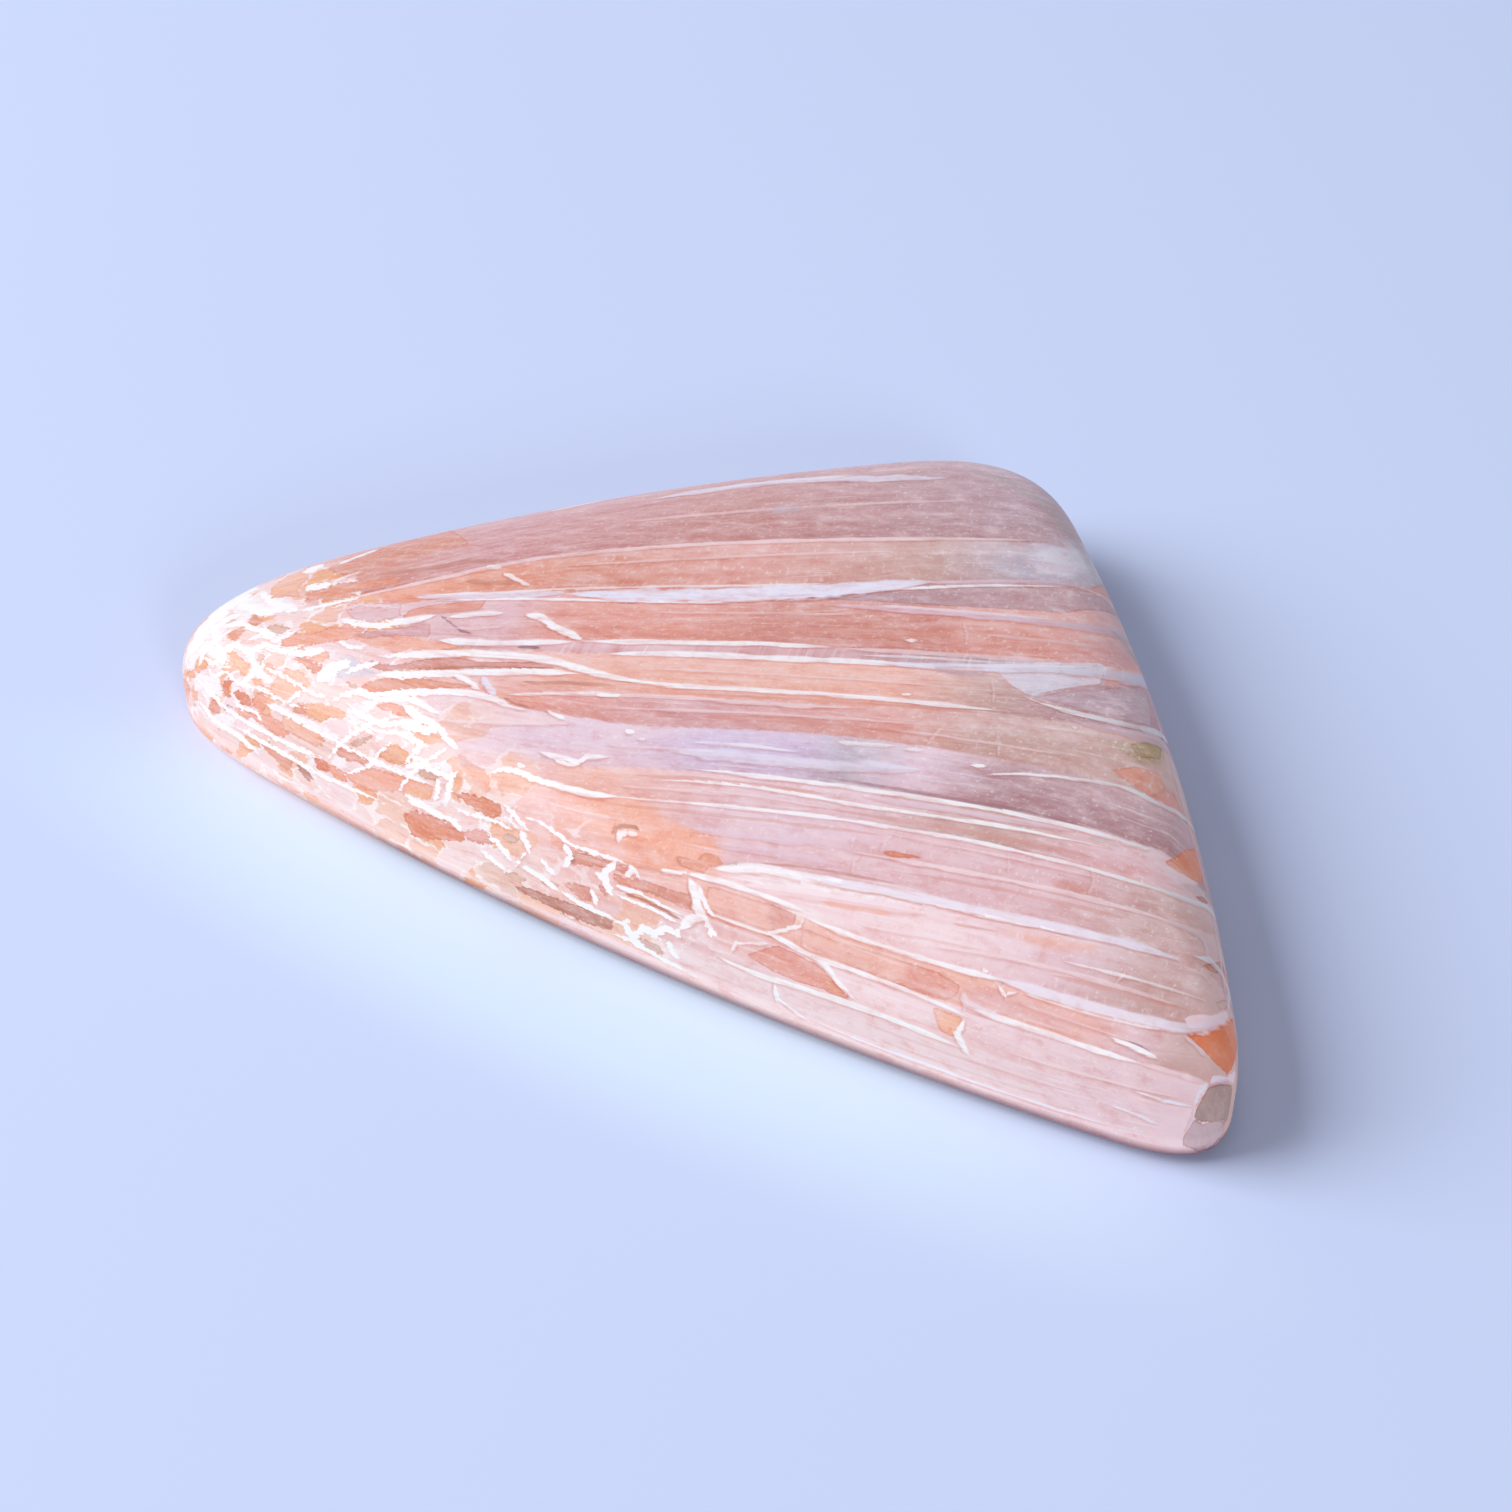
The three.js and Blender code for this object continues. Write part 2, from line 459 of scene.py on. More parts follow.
# The bands of fibres from the far side to the front: where each begins, and its colours by the
# photograph's x. A boundary is given by the pixels that it passes through.
BANDS = [
    # under the far edge
    ([(150, 560), (1150, 380)], [(250, BRICK), (375, RUSSET), (500, ROSE), (740, MAUVE), (990, GREY_MAUVE)]),
    # the upper peach band
    (
        [(305, 607), (361, 597), (405, 585), (449, 574), (518, 557), (600, 550), (686, 544), (791, 539),
         (912, 538), (996, 538), (1060, 541), (1090, 556)],
        [(250, BRICK), (400, BRICK), (600, RUSSET), (760, PEACH_PINK), (940, TAN), (1030, GREY_BLUE)],
    ),
    # the orange band under the silvery seam
    (
        [(330, 614), (411, 597), (466, 598), (533, 593), (600, 593), (661, 592), (722, 596), (784, 593),
         (840, 587), (919, 581), (996, 579), (1034, 581), (1069, 584), (1110, 594)],
        [(250, BRICK), (400, PINK), (520, PINK), (575, SALMON), (700, SALMON), (780, RUST), (960, RUST),
         (972, PEACH_PINK), (1060, PEACH_PINK), (1120, ROSE)],
    ),
    # the greyish pink strip under the upper white line
    (
        [(346, 632), (456, 638), (541, 641), (620, 641), (700, 643), (814, 646), (912, 651), (976, 657),
         (1050, 660), (1110, 664), (1140, 672)],
        [(250, BRICK), (420, PINK), (600, PINK), (800, ROSE), (980, GREY_MAUVE), (1060, BLUE_WHITE)],
    ),
    # the middle peach band
    (
        [(472, 650), (600, 654), (692, 654), (753, 659), (840, 661), (927, 668), (996, 671), (1050, 668),
         (1099, 672), (1148, 682)],
        [(250, BRICK), (400, PEACH), (480, PALE_PEACH), (560, PEACH), (900, PEACH), (1000, TAN),
         (1080, DUSK)],
    ),
    # the salmon band
    (
        [(440, 676), (518, 686), (600, 696), (689, 696), (768, 702), (866, 706), (958, 710), (1010, 714),
         (1085, 720), (1158, 736)],
        [(250, BRICK), (420, PEACH), (540, SALMON), (700, ROSE), (900, PEACH_PINK), (1000, TAN),
         (1140, TAN)],
    ),
    # the lilac sheen: the stone's own lilac, partly a painted reflection
    (
        [(430, 690), (498, 700), (564, 720), (600, 725), (700, 727), (820, 730), (912, 739), (973, 757),
         (1060, 771), (1115, 771), (1176, 812)],
        [(250, BRICK), (400, PEACH), (450, LILAC), (640, LILAC), (720, LAVENDER), (800, LAVENDER),
         (860, GREY_BLUE), (930, LILAC), (1010, DUSK), (1140, DUSK)],
    ),
    # the strips under the double white line
    (
        [(430, 742), (487, 757), (560, 765), (620, 768), (722, 772), (784, 778), (820, 783), (912, 795),
         (950, 801), (1011, 811), (1060, 821), (1092, 830), (1122, 840), (1161, 852)],
        [(250, BRICK), (450, PINK), (600, PEACH), (760, PALE_PINK), (860, PALE_PINK), (1000, TAN),
         (1100, PINK)],
    ),
    # the pinkish band under the long white seam
    (
        [(430, 760), (488, 772), (533, 778), (587, 794), (646, 799), (738, 806), (820, 816), (912, 829),
         (1000, 844), (1046, 858), (1107, 872), (1184, 896), (1215, 906)],
        [(250, BRICK), (500, BRICK), (640, PEACH), (700, PINK), (800, LILAC), (900, PINK), (1060, PINK),
         (1160, SHOULDER)],
    ),
    # the pink band above the thick crystal edge
    (
        [(430, 780), (500, 806), (600, 812), (684, 827), (738, 835), (814, 845), (896, 859), (1004, 878),
         (1092, 898), (1138, 911), (1176, 922), (1215, 936)],
        [(250, BRICK), (500, BRICK), (600, PEACH), (690, BRICK), (740, PINK), (1040, PINK),
         (1150, SHOULDER)],
    ),
    # the pale band under the thick crystal edge
    (
        [(430, 800), (500, 826), (600, 840), (690, 868), (756, 868), (800, 877), (849, 884), (907, 893),
         (953, 903), (1000, 914), (1061, 930), (1107, 936), (1153, 949), (1205, 966)],
        [(250, BRICK), (500, BRICK), (640, PEACH), (760, PALE_PEACH), (960, PALE_PEACH),
         (1080, PALE_PINK), (1160, SHOULDER)],
    ),
    # the bricks in front of it
    (
        [(430, 824), (560, 850), (640, 866), (707, 881), (738, 888), (768, 899), (805, 915), (861, 940),
         (922, 958), (984, 978), (1040, 992), (1086, 1010), (1163, 1024), (1221, 1030)],
        [(250, BRICK), (500, BRICK_PINK), (640, BRICK_PINK), (760, PEACH), (900, PEACH), (960, PEACH),
         (1060, PEACH), (1140, PALE_PINK), (1190, SHOULDER)],
    ),
    # the pale blades of the front slope
    (
        [(430, 840), (560, 880), (640, 893), (700, 915), (771, 936), (841, 967), (907, 992), (953, 1002),
         (1014, 1022), (1056, 1037), (1135, 1063), (1207, 1083)],
        [(250, BRICK), (500, BRICK_PINK), (620, BRICK_PINK), (700, FRONT_PINK), (900, PALE_PEACH),
         (1130, FRONT_ROSE)],
    ),
    # along the front edge
    (
        [(430, 852), (560, 905), (640, 930), (698, 949), (744, 970), (800, 987), (846, 1002), (892, 1018),
         (968, 1051), (1060, 1078), (1132, 1092), (1194, 1108)],
        [(250, BRICK), (480, SAND), (560, FRONT_PINK), (960, FRONT_PINK), (1120, FRONT_ROSE)],
    ),
]

# The fibres fan out from a point of the plan left of the tip; across them, lengths are as at this reach
FIBRE_CENTRE = np.array([-33.6, -1.0])
FIBRE_REACH = 34.0

# How soft the edges of bands, areas and the crackle are
BOUNDARY_SOFTNESS = 0.05
AREA_SOFTNESS = 0.3
CRACKLE_SOFTNESS = 1.2

# Each band is paler along its far edge and deeper along its near one, and has at least this width
# where it is shaded; two edges are at least this far apart where the grain follows them
PALE_SIDE = 0.2
DEEP_SIDE = 0.3
NARROWEST_BAND = 0.05
EDGE_GAP = 0.02

# The bands' edges wander by this much, over random cells of this length and width
BAND_WANDER = 0.06
WANDER_CELL = (4.0, 0.5)
WANDER_SEED = 3
LATTICE_SIZE = 512

# Lines longer than this many pixels are straightened a little
FAR_PIXELS = 150

# Lines shorter than this many pixels keep their corners
SHORT_PIXELS = 110

# How far from a seam or a blade its distances are kept, in millimetres, and how much further off than
# that from the middle of a seam's piece a face may be
SEAM_REACH = 0.5
BLADE_REACH = 0.4
FACE_MARGIN = 0.4

# A seam tapers over the last one in so many parts of its length, and fades over a third of its taper
SEAM_TAPER = 6
SEAM_FADE = 3

# A seam at least this bright shades the stone beside it
SHADING_SEAMS = 0.6

# The stone is painted darker and browner below this height, as shade where it meets the paper, but
# not by the tip, and a little paler along the line above that
CONTACT_HEIGHT = 0.72
CONTACT_FADE = 0.2
CONTACT_TINT = np.array([0.36, 0.25, 0.29])
CONTACT_START = -14.0
CONTACT_RUN = 6.0
RIM_HEIGHT = 0.9
RIM_HALF = 0.2
RIM_PALER = 0.18

# Painted light and shade: how much the stone is painted paler where the lamps give it less light and
# deeper where they give it more, the limits of that, and its tint
PAINTED_LIGHT_STRENGTH = 0.8
PAINTED_LIGHT_LIMITS = (0.65, 1.35)
STONE_TINT = np.array([1.045, 1.065, 1.095])

# The grain shows less on the right side and at the heel: how far in, how fast and how much
CALM_INSET = 1.3
CALM_START = 1.2
CALM_HEEL = 3.2
CALM_HEEL_RISE = 3
CALM_MOST = 0.7

# The crackle's cells: where they start along the fibres, how many there are along and across, how
# they slant, and how far their edges wander
CELLS_START = 12
CELLS_ALONG = 6.4
CELLS_ACROSS = 0.8
CELL_SLANT = 0.25
CELL_WANDER = 0.9

# A seam that ends this close to the right side carries on round it, for this long, but not where it
# ends this close to the front
RIGHT_SHOULDER = 1.0
ROUND_THE_SIDE = 4.0
HEEL_REACH = 5.0

# The most that a pixel of a seam's half width may come to, in millimetres, where it is seen edge on
WIDEST_HALF = 0.035

# Seams along and across the fibres: colour, width in pixels, strength, and the pixels they run through
SEAMS = [
    # along the far edge and round the apex
    (WHITE, 4, 0.9, [(548, 512), (580, 505), (610, 499)]),
    (WHITE, 4, 0.9, [(337, 565), (357, 557), (379, 549)]),
    (BLUE_WHITE, 9, 0.8, [(646, 500), (707, 491), (753, 482), (799, 479), (881, 477), (953, 478)]),
    (WHITE, 4, 0.8, [(690, 494), (740, 484), (790, 479), (860, 475)]),
    (GREY_GREEN, 12, 0.35, [(950, 466), (1000, 470), (1040, 490), (1072, 530), (1094, 570), (1104, 594)]),
    # the upper white line and what hangs from it
    (PINK_WHITE, 4, 0.8, [(302, 607), (361, 598), (405, 586), (449, 575), (487, 570), (518, 557),
                          (600, 550), (686, 544), (791, 539), (912, 538), (996, 538), (1060, 541)]),
    (WHITE, 5, 0.8, [(486, 566), (502, 568)]),
    (WHITE, 4, 0.8, [(502, 572), (516, 579), (530, 586)]),
    (BROWN, 5, 0.5, [(375, 575), (430, 568), (470, 562), (510, 560)]),
    (BROWN, 7, 0.5, [(464, 581), (490, 583), (518, 582)]),
    (PINK_WHITE, 2.5, 0.5, [(560, 566), (640, 562), (720, 556), (800, 553), (900, 551)]),
    (PINK_WHITE, 3, 0.5, [(600, 524), (700, 514), (800, 506), (900, 500), (980, 500)]),
    (GREY_BLUE, 10, 0.5, [(770, 512), (786, 509), (802, 508)]),
    # the silvery seam
    (BLUE_WHITE, 7, 0.8, [(411, 597), (466, 598), (533, 593), (570, 592)]),
    (BLUE_WHITE, 16, 1.0, [(560, 594), (638, 594), (690, 595), (745, 597), (800, 592), (860, 587),
                           (940, 581)]),
    (WHITE, 3, 0.9, [(411, 601), (466, 601), (533, 596), (600, 600), (676, 603), (745, 605), (814, 595),
                     (881, 588), (996, 580), (1084, 587)]),
    (WHITE, 3, 0.6, [(411, 595), (466, 596), (533, 590), (600, 587), (680, 584), (753, 589), (840, 583)]),
    (LILAC, 4, 0.7, [(919, 583), (996, 579), (1050, 581), (1084, 586)]),
    # the mauve wedge and the lilac line under it
    (LILAC, 8, 0.85, [(820, 604), (881, 607), (927, 611), (988, 615), (1060, 622), (1118, 632)]),
    (WHITE, 3, 0.7, [(860, 604), (927, 608), (988, 613), (1060, 620)]),
    (GREY_GREEN, 9, 0.7, [(1105, 626), (1120, 638), (1130, 652)]),
    # the orange band
    (PINK_WHITE, 2.5, 0.4, [(640, 612), (720, 614), (800, 612), (860, 615)]),
    (RUST, 5, 0.6, [(760, 628), (840, 630), (930, 634), (965, 638)]),
    (PINK_WHITE, 2.5, 0.4, [(963, 622), (967, 634), (966, 646)]),
    (WHITE, 4, 0.8, [(905, 640), (918, 641)]),
    (PINK_WHITE, 3, 0.5, [(980, 634), (1040, 640), (1105, 648)]),
    # the upper pair of white lines
    (WHITE, 7, 1.0, [(340, 620), (356, 624), (380, 625), (400, 622), (420, 619), (438, 614)]),
    (WHITE, 5, 1.0, [(448, 617), (475, 614), (505, 613)]),
    (WHITE, 8, 1.0, [(524, 614), (540, 617), (552, 625), (566, 632), (584, 641)]),
    (WHITE, 7, 0.95, [(436, 640), (470, 642), (502, 643), (541, 642), (575, 642)]),
    (WHITE, 5, 0.9, [(570, 641), (620, 641), (700, 643), (753, 642), (814, 646), (840, 648)]),
    (PINK_WHITE, 5, 0.7, [(840, 648), (912, 651), (976, 657), (1060, 661)]),
    (WHITE, 3, 0.6, [(858, 655), (930, 658), (1000, 663)]),
    (WHITE, 6, 0.9, [(600, 654), (654, 652), (692, 653), (753, 658), (799, 659), (840, 660), (889, 663),
                     (940, 667)]),
    (BLUE_WHITE, 9, 0.9, [(866, 662), (927, 667), (996, 670), (1050, 665), (1099, 672), (1146, 682)]),
    (WHITE, 3, 0.8, [(940, 665), (996, 668), (1040, 664), (1090, 667)]),
    (RUST, 3, 0.6, [(600, 634), (700, 636), (814, 640), (900, 644), (965, 648)]),
    (GREY_MAUVE, 6, 0.6, [(900, 657), (961, 674), (996, 676)]),
    # the blades at its left
    (WHITE, 8, 1.0, [(372, 657), (400, 655), (440, 652), (472, 652), (505, 656), (540, 656), (560, 661),
                     (576, 668), (592, 673), (620, 679), (650, 683)]),
    (WHITE, 8, 1.0, [(368, 675), (400, 676), (440, 674), (470, 671), (510, 671), (560, 671), (584, 674)]),
    (WHITE, 5, 1.0, [(344, 674), (360, 667), (380, 662)]),
    (WHITE, 7, 1.0, [(356, 695), (380, 695), (410, 693), (440, 691), (474, 689), (488, 697), (502, 704),
                     (516, 709), (532, 711)]),
    (WHITE, 6, 1.0, [(452, 673), (466, 679), (480, 690)]),
    (BLUE_WHITE, 8, 0.9, [(482, 676), (488, 686), (496, 696)]),
    (WHITE, 4, 1.0, [(546, 710), (556, 715), (566, 720)]),
    (WHITE, 5, 1.0, [(596, 695), (622, 695)]),
    (WHITE, 9, 1.0, [(400, 702), (412, 712), (426, 720), (438, 728), (448, 740), (460, 750)]),
    (WHITE, 9, 1.0, [(398, 722), (418, 728), (440, 733)]),
    (WHITE, 6, 1.0, [(404, 736), (420, 745), (414, 757)]),
    (PINK_WHITE, 3, 0.8, [(330, 612), (361, 604), (400, 608)]),
    (BROWN, 3, 0.6, [(438, 650), (472, 647), (512, 648)]),
    (PLUM, 3.5, 1.0, [(516, 647), (528, 647), (541, 648)]),
    (BROWN, 3, 0.9, [(420, 670), (460, 668), (510, 668), (560, 668)]),
    (BROWN, 2.5, 0.8, [(502, 697), (516, 704), (532, 709)]),
    (BROWN, 4, 0.6, [(518, 682), (570, 683), (620, 686)]),
    (RUST, 6, 0.5, [(418, 611), (450, 610), (487, 609)]),
    (PLUM, 2.5, 0.9, [(440, 615), (452, 624), (461, 631), (475, 635)]),
    (PINK_WHITE, 3, 0.6, [(449, 628), (480, 628), (507, 626)]),
    # the lower pair of white lines
    (WHITE, 5, 0.9, [(600, 676), (630, 682), (669, 686), (707, 687), (761, 690), (820, 693), (866, 697),
                     (912, 701), (958, 706), (1010, 712)]),
    (PINK_WHITE, 4, 0.8, [(540, 694), (600, 695), (650, 695), (689, 696), (722, 702), (768, 704),
                          (807, 707), (866, 708)]),
    (WHITE, 3, 0.7, [(502, 695), (560, 693), (620, 693)]),
    (RUST, 3, 0.7, [(684, 693), (730, 697), (840, 700), (920, 707), (996, 714)]),
    (PINK_WHITE, 2.5, 0.4, [(992, 680), (994, 692), (993, 704)]),
    (WHITE, 4, 0.8, [(902, 694), (910, 694)]),
    (PINK_WHITE, 2.5, 0.5, [(640, 668), (720, 672), (800, 675), (880, 680), (960, 688)]),
    (WHITE, 5, 0.9, [(1020, 694), (1038, 702), (1076, 713), (1115, 722), (1156, 732)]),
    (LILAC, 9, 0.7, [(1061, 718), (1105, 728), (1156, 740)]),
    (WHITE, 4, 0.9, [(1070, 727), (1080, 728)]),
    # the salmon band
    (RUST, 7, 0.6, [(700, 716), (761, 718), (800, 722), (840, 726)]),
    (PINK_WHITE, 3, 0.6, [(600, 708), (680, 710), (760, 712), (850, 718), (940, 726)]),
    (PINK_WHITE, 3, 0.5, [(880, 728), (940, 734), (1010, 746), (1070, 756)]),
    (PINK_WHITE, 2.5, 0.4, [(942, 726), (934, 736), (926, 746)]),
    (PINK_WHITE, 2.5, 0.4, [(997, 730), (999, 745), (998, 759)]),
    # the lilac sheen
    (PINK_WHITE, 4, 0.8, [(441, 721), (510, 723), (571, 724)]),
    (WHITE, 6, 1.0, [(538, 751), (552, 756), (566, 758), (578, 762), (586, 757), (612, 757)]),
    (WHITE, 5, 0.9, [(553, 759), (568, 764), (580, 765)]),
    (BLUE_WHITE, 14, 0.7, [(666, 750), (700, 752), (730, 757), (784, 761), (840, 767), (927, 770)]),
    (WHITE, 5, 0.9, [(624, 731), (635, 733)]),
    (WHITE, 5, 0.9, [(516, 764), (526, 766)]),
    (WHITE, 3, 0.7, [(637, 739), (646, 739)]),
    (WHITE, 4, 0.6, [(835, 742), (866, 744), (896, 746)]),
    (WHITE, 4, 0.6, [(690, 742), (740, 745), (800, 752)]),
    (WHITE, 4, 0.6, [(903, 749), (924, 750)]),
    # a painted glint
    (WHITE, 4, 1.0, [(970, 765), (986, 766)]),
    (WHITE, 4, 0.9, [(978, 776), (1004, 772), (1027, 772), (1061, 777), (1092, 783), (1122, 781),
                     (1138, 792), (1153, 803), (1176, 812)]),
    (PINK_WHITE, 3, 0.5, [(600, 745), (660, 748), (720, 752)]),
    # the double white line
    (PLUM, 4, 0.7, [(820, 777), (866, 784), (912, 791), (958, 799), (1011, 810), (1060, 818), (1092, 828)]),
    (RUST, 4, 0.6, [(630, 775), (700, 777), (770, 784), (830, 795)]),
    (WHITE, 4, 0.9, [(646, 780), (716, 782), (741, 783), (776, 790), (799, 795), (840, 803), (912, 812),
                     (958, 819), (1011, 827), (1060, 836), (1113, 849)]),
    (WHITE, 5, 0.9, [(676, 767), (722, 772), (784, 778), (820, 783), (912, 796), (950, 802), (1011, 812),
                     (1060, 822), (1092, 831), (1122, 841), (1161, 853)]),
    # a painted glint
    (WHITE, 6, 1.0, [(1118, 841), (1134, 845), (1150, 850)]),
    (LILAC, 6, 0.7, [(860, 796), (950, 810), (1020, 820), (1080, 832)]),
    (GREY_GREEN, 6, 0.5, [(1087, 838), (1105, 842), (1122, 847)]),
    (RUST, 4, 0.6, [(820, 808), (866, 816), (930, 824), (1000, 836), (1060, 848), (1110, 862)]),
    (PINK_WHITE, 3, 0.6, [(700, 790), (760, 797), (830, 808)]),
    (PINK_WHITE, 3, 0.6, [(620, 786), (680, 790), (740, 796)]),
    # the long white seam
    (WHITE, 4, 0.85, [(600, 796), (646, 799), (738, 805), (820, 816), (912, 829), (1000, 844),
                      (1046, 858), (1107, 872), (1184, 896), (1204, 906)]),
    (WHITE, 7, 1.0, [(486, 774), (504, 769), (520, 772), (534, 779), (560, 786), (590, 794), (620, 797)]),
    (PINK_WHITE, 3, 0.8, [(1196, 884), (1206, 894), (1211, 908), (1214, 922), (1216, 934)]),
    (GREY_GREEN, 9, 0.45, [(1168, 884), (1186, 888), (1200, 892)]),
    (RUST, 4, 0.5, [(600, 803), (700, 812), (800, 824), (890, 836)]),
    (PINK_WHITE, 3, 0.6, [(880, 832), (960, 846), (1040, 864), (1110, 880)]),
    # the pink bands
    (LILAC, 6, 0.6, [(684, 827), (738, 835), (814, 845)]),
    (LILAC, 12, 0.5, [(707, 842), (770, 852), (840, 866)]),
    (PINK_WHITE, 5, 0.9, [(843, 850), (896, 859), (942, 868), (1004, 878), (1046, 888), (1092, 898),
                          (1138, 911), (1176, 922), (1196, 930), (1208, 940), (1210, 952), (1204, 962)]),
    (WHITE, 4, 0.9, [(893, 850), (899, 850)]),
    (PINK_WHITE, 2.5, 0.4, [(893, 834), (884, 844), (880, 853)]),
    (PINK_WHITE, 2.5, 0.4, [(861, 854), (854, 862), (852, 874)]),
    (PINK_WHITE, 2.5, 0.4, [(1008, 854), (1009, 864), (1008, 874)]),
    (PINK_WHITE, 2.5, 0.4, [(1021, 887), (1015, 894), (1009, 902)]),
    (PINK_WHITE, 2.5, 0.4, [(1090, 862), (1094, 880), (1088, 896)]),
    (RUST, 4, 0.5, [(900, 872), (980, 884), (1060, 900), (1140, 922)]),
    # the peach area at their left
    # a small pit: a brown arc, and white strokes that are its painted highlight
    (BROWN, 5, 0.9, [(611, 835), (615, 828), (624, 826), (634, 827), (641, 832)]),
    (WHITE, 7, 1.0, [(618, 843), (620, 834), (629, 832)]),
    (WHITE, 5, 1.0, [(626, 832), (638, 835)]),
    (OLIVE, 4, 0.7, [(725, 865), (738, 864), (750, 867)]),
    (PINK_WHITE, 3, 0.6, [(540, 800), (580, 812), (620, 820)]),
    # the thick crystal edge
    (WHITE, 11, 0.95, [(712, 869), (756, 868), (800, 876), (849, 883)]),
    (LIGHT_LILAC, 11, 0.95, [(800, 877), (849, 884), (907, 894), (953, 904), (1000, 915), (1061, 929),
                             (1107, 936), (1153, 949), (1191, 963)]),
    (WHITE, 4, 0.9, [(800, 880), (849, 887), (907, 897), (953, 908), (1000, 919), (1061, 934), (1107, 939)]),
    (WHITE, 5, 0.9, [(1191, 955), (1210, 960), (1222, 974), (1229, 992), (1228, 1010)]),
    (BROWN, 3, 0.6, [(756, 862), (800, 867), (840, 873), (900, 884)]),
    (WHITE, 5, 1.0, [(658, 870), (682, 873), (700, 876)]),
    (PALE_PEACH, 12, 0.6, [(740, 885), (800, 892), (860, 902), (930, 914)]),
    (BRICK, 6, 0.7, [(818, 901), (846, 906), (895, 914)]),
    (RUST, 3, 0.7, [(950, 923), (976, 928), (1002, 932)]),
    (PINK_WHITE, 5, 0.7, [(930, 946), (985, 953), (1040, 963), (1084, 975), (1132, 991), (1180, 1006)]),
    (WHITE, 3, 0.7, [(1060, 960), (1137, 977), (1178, 991), (1206, 1001)]),
    (PINK_WHITE, 3, 0.7, [(1126, 972), (1120, 979), (1114, 985)]),
    (PINK_WHITE, 3, 0.6, [(860, 925), (930, 938), (985, 950)]),
    (RUST, 4, 0.6, [(1040, 972), (1090, 985), (1150, 1000), (1196, 1012)]),
    # the second crystal edge
    (WHITE, 6, 0.9, [(800, 915), (830, 929), (861, 940), (892, 949), (922, 958), (984, 976), (1014, 984)]),
    (LIGHT_LILAC, 12, 0.9, [(990, 976), (1020, 985), (1056, 997), (1086, 1007), (1132, 1016),
                            (1163, 1024), (1186, 1029), (1204, 1031), (1218, 1024)]),
    (WHITE, 3, 0.7, [(1020, 992), (1056, 1004), (1086, 1013), (1132, 1024), (1163, 1030)]),
    (WHITE, 6, 0.9, [(983, 968), (987, 974)]),
    (WHITE, 4, 0.9, [(998, 985), (1004, 994), (1018, 992)]),
    (WHITE, 6, 1.0, [(684, 873), (704, 877), (730, 884), (768, 897), (805, 912)]),
    (WHITE, 12, 1.0, [(688, 876), (695, 892), (697, 906), (702, 916), (688, 920), (680, 932)]),
    (WHITE, 5, 1.0, [(698, 884), (702, 896), (708, 910), (716, 918)]),
    (WHITE, 4, 0.8, [(705, 912), (728, 920), (767, 934), (800, 926), (806, 915)]),
    (WHITE, 5, 0.95, [(762, 932), (778, 938), (800, 950), (823, 963), (838, 982), (856, 1001)]),
    (WHITE, 5, 0.95, [(800, 950), (835, 967), (869, 975), (907, 989), (940, 1004), (969, 1018)]),
    (WHITE, 7, 0.95, [(965, 1020), (957, 1034), (962, 1045), (969, 1056)]),
    (LIGHT_LILAC, 9, 0.7, [(962, 992), (966, 1004), (980, 1010), (1000, 1016)]),
    (WHITE, 6, 0.95, [(714, 954), (728, 963), (744, 970), (774, 981), (800, 987), (846, 1002),
                      (892, 1018), (938, 1038), (968, 1051)]),
    (WHITE, 4, 0.8, [(730, 955), (736, 943), (771, 944)]),
    (WHITE, 7, 0.95, [(968, 1008), (1000, 1018), (1040, 1031), (1080, 1045), (1120, 1058), (1142, 1064)]),
    (PINK_WHITE, 5, 0.7, [(1136, 1063), (1160, 1069), (1185, 1076), (1207, 1083)]),
    # a painted glint
    (WHITE, 5, 1.0, [(1108, 1036), (1134, 1047), (1160, 1060)]),
    (PLUM, 2, 0.8, [(1126, 1040), (1138, 1045), (1152, 1053)]),
    (PINK_WHITE, 3, 0.6, [(1010, 1000), (1080, 1024), (1140, 1044)]),
    # the front slope
    (WHITE, 4, 0.9, [(774, 981), (777, 998), (792, 1012), (805, 1024)]),
    (WHITE, 4, 0.8, [(805, 1019), (815, 1028), (861, 1045), (938, 1074), (1007, 1097), (1056, 1115),
                     (1117, 1131)]),
    (PINK_WHITE, 3, 0.6, [(860, 1020), (930, 1046), (1000, 1072), (1080, 1094)]),
    (PINK_WHITE, 3, 0.6, [(1000, 1050), (1060, 1070), (1130, 1088), (1180, 1098)]),
    (WHITE, 3, 0.8, [(1132, 1090), (1163, 1101), (1194, 1107)]),
    (WHITE, 3, 0.7, [(1109, 1105), (1140, 1116), (1157, 1124)]),
    (PINK_WHITE, 3, 0.6, [(880, 1040), (960, 1068), (1050, 1096)]),
    # white strokes of the tip
    (WHITE, 15, 1.0, [(184, 668), (190, 650), (198, 640), (203, 628), (216, 618), (221, 607), (240, 600),
                      (244, 592), (262, 589)]),
    (WHITE, 6, 1.0, [(198, 668), (204, 652), (216, 640), (214, 628), (230, 618), (246, 612)]),
    (WHITE, 7.6, 1.0, [(236, 604), (262, 612), (292, 607)]),
    (WHITE, 6.7, 1.0, [(260, 592), (272, 603), (300, 612)]),
    (WHITE, 4.2, 1.0, [(300, 611), (330, 604), (362, 597)]),
    (WHITE, 5.9, 1.0, [(220, 628), (240, 623), (262, 632), (280, 638)]),
    (WHITE, 4.2, 1.0, [(245, 642), (262, 634), (276, 641), (290, 634), (300, 628)]),
    (WHITE, 6.7, 1.0, [(212, 640), (222, 651), (236, 645), (250, 652), (264, 645), (286, 652), (306, 644)]),
    (WHITE, 7.6, 1.0, [(284, 651), (302, 654), (326, 650)]),
    (WHITE, 7.6, 1.0, [(306, 574), (314, 568), (325, 564)]),
    (WHITE, 6.7, 1.0, [(304, 588), (318, 587), (333, 583)]),
    (WHITE, 4.2, 1.0, [(206, 665), (214, 676), (226, 672), (240, 684), (262, 690), (286, 703), (312, 709)]),
    (WHITE, 5, 1.0, [(262, 702), (290, 716), (322, 733), (346, 746), (374, 764), (400, 774), (436, 785)]),
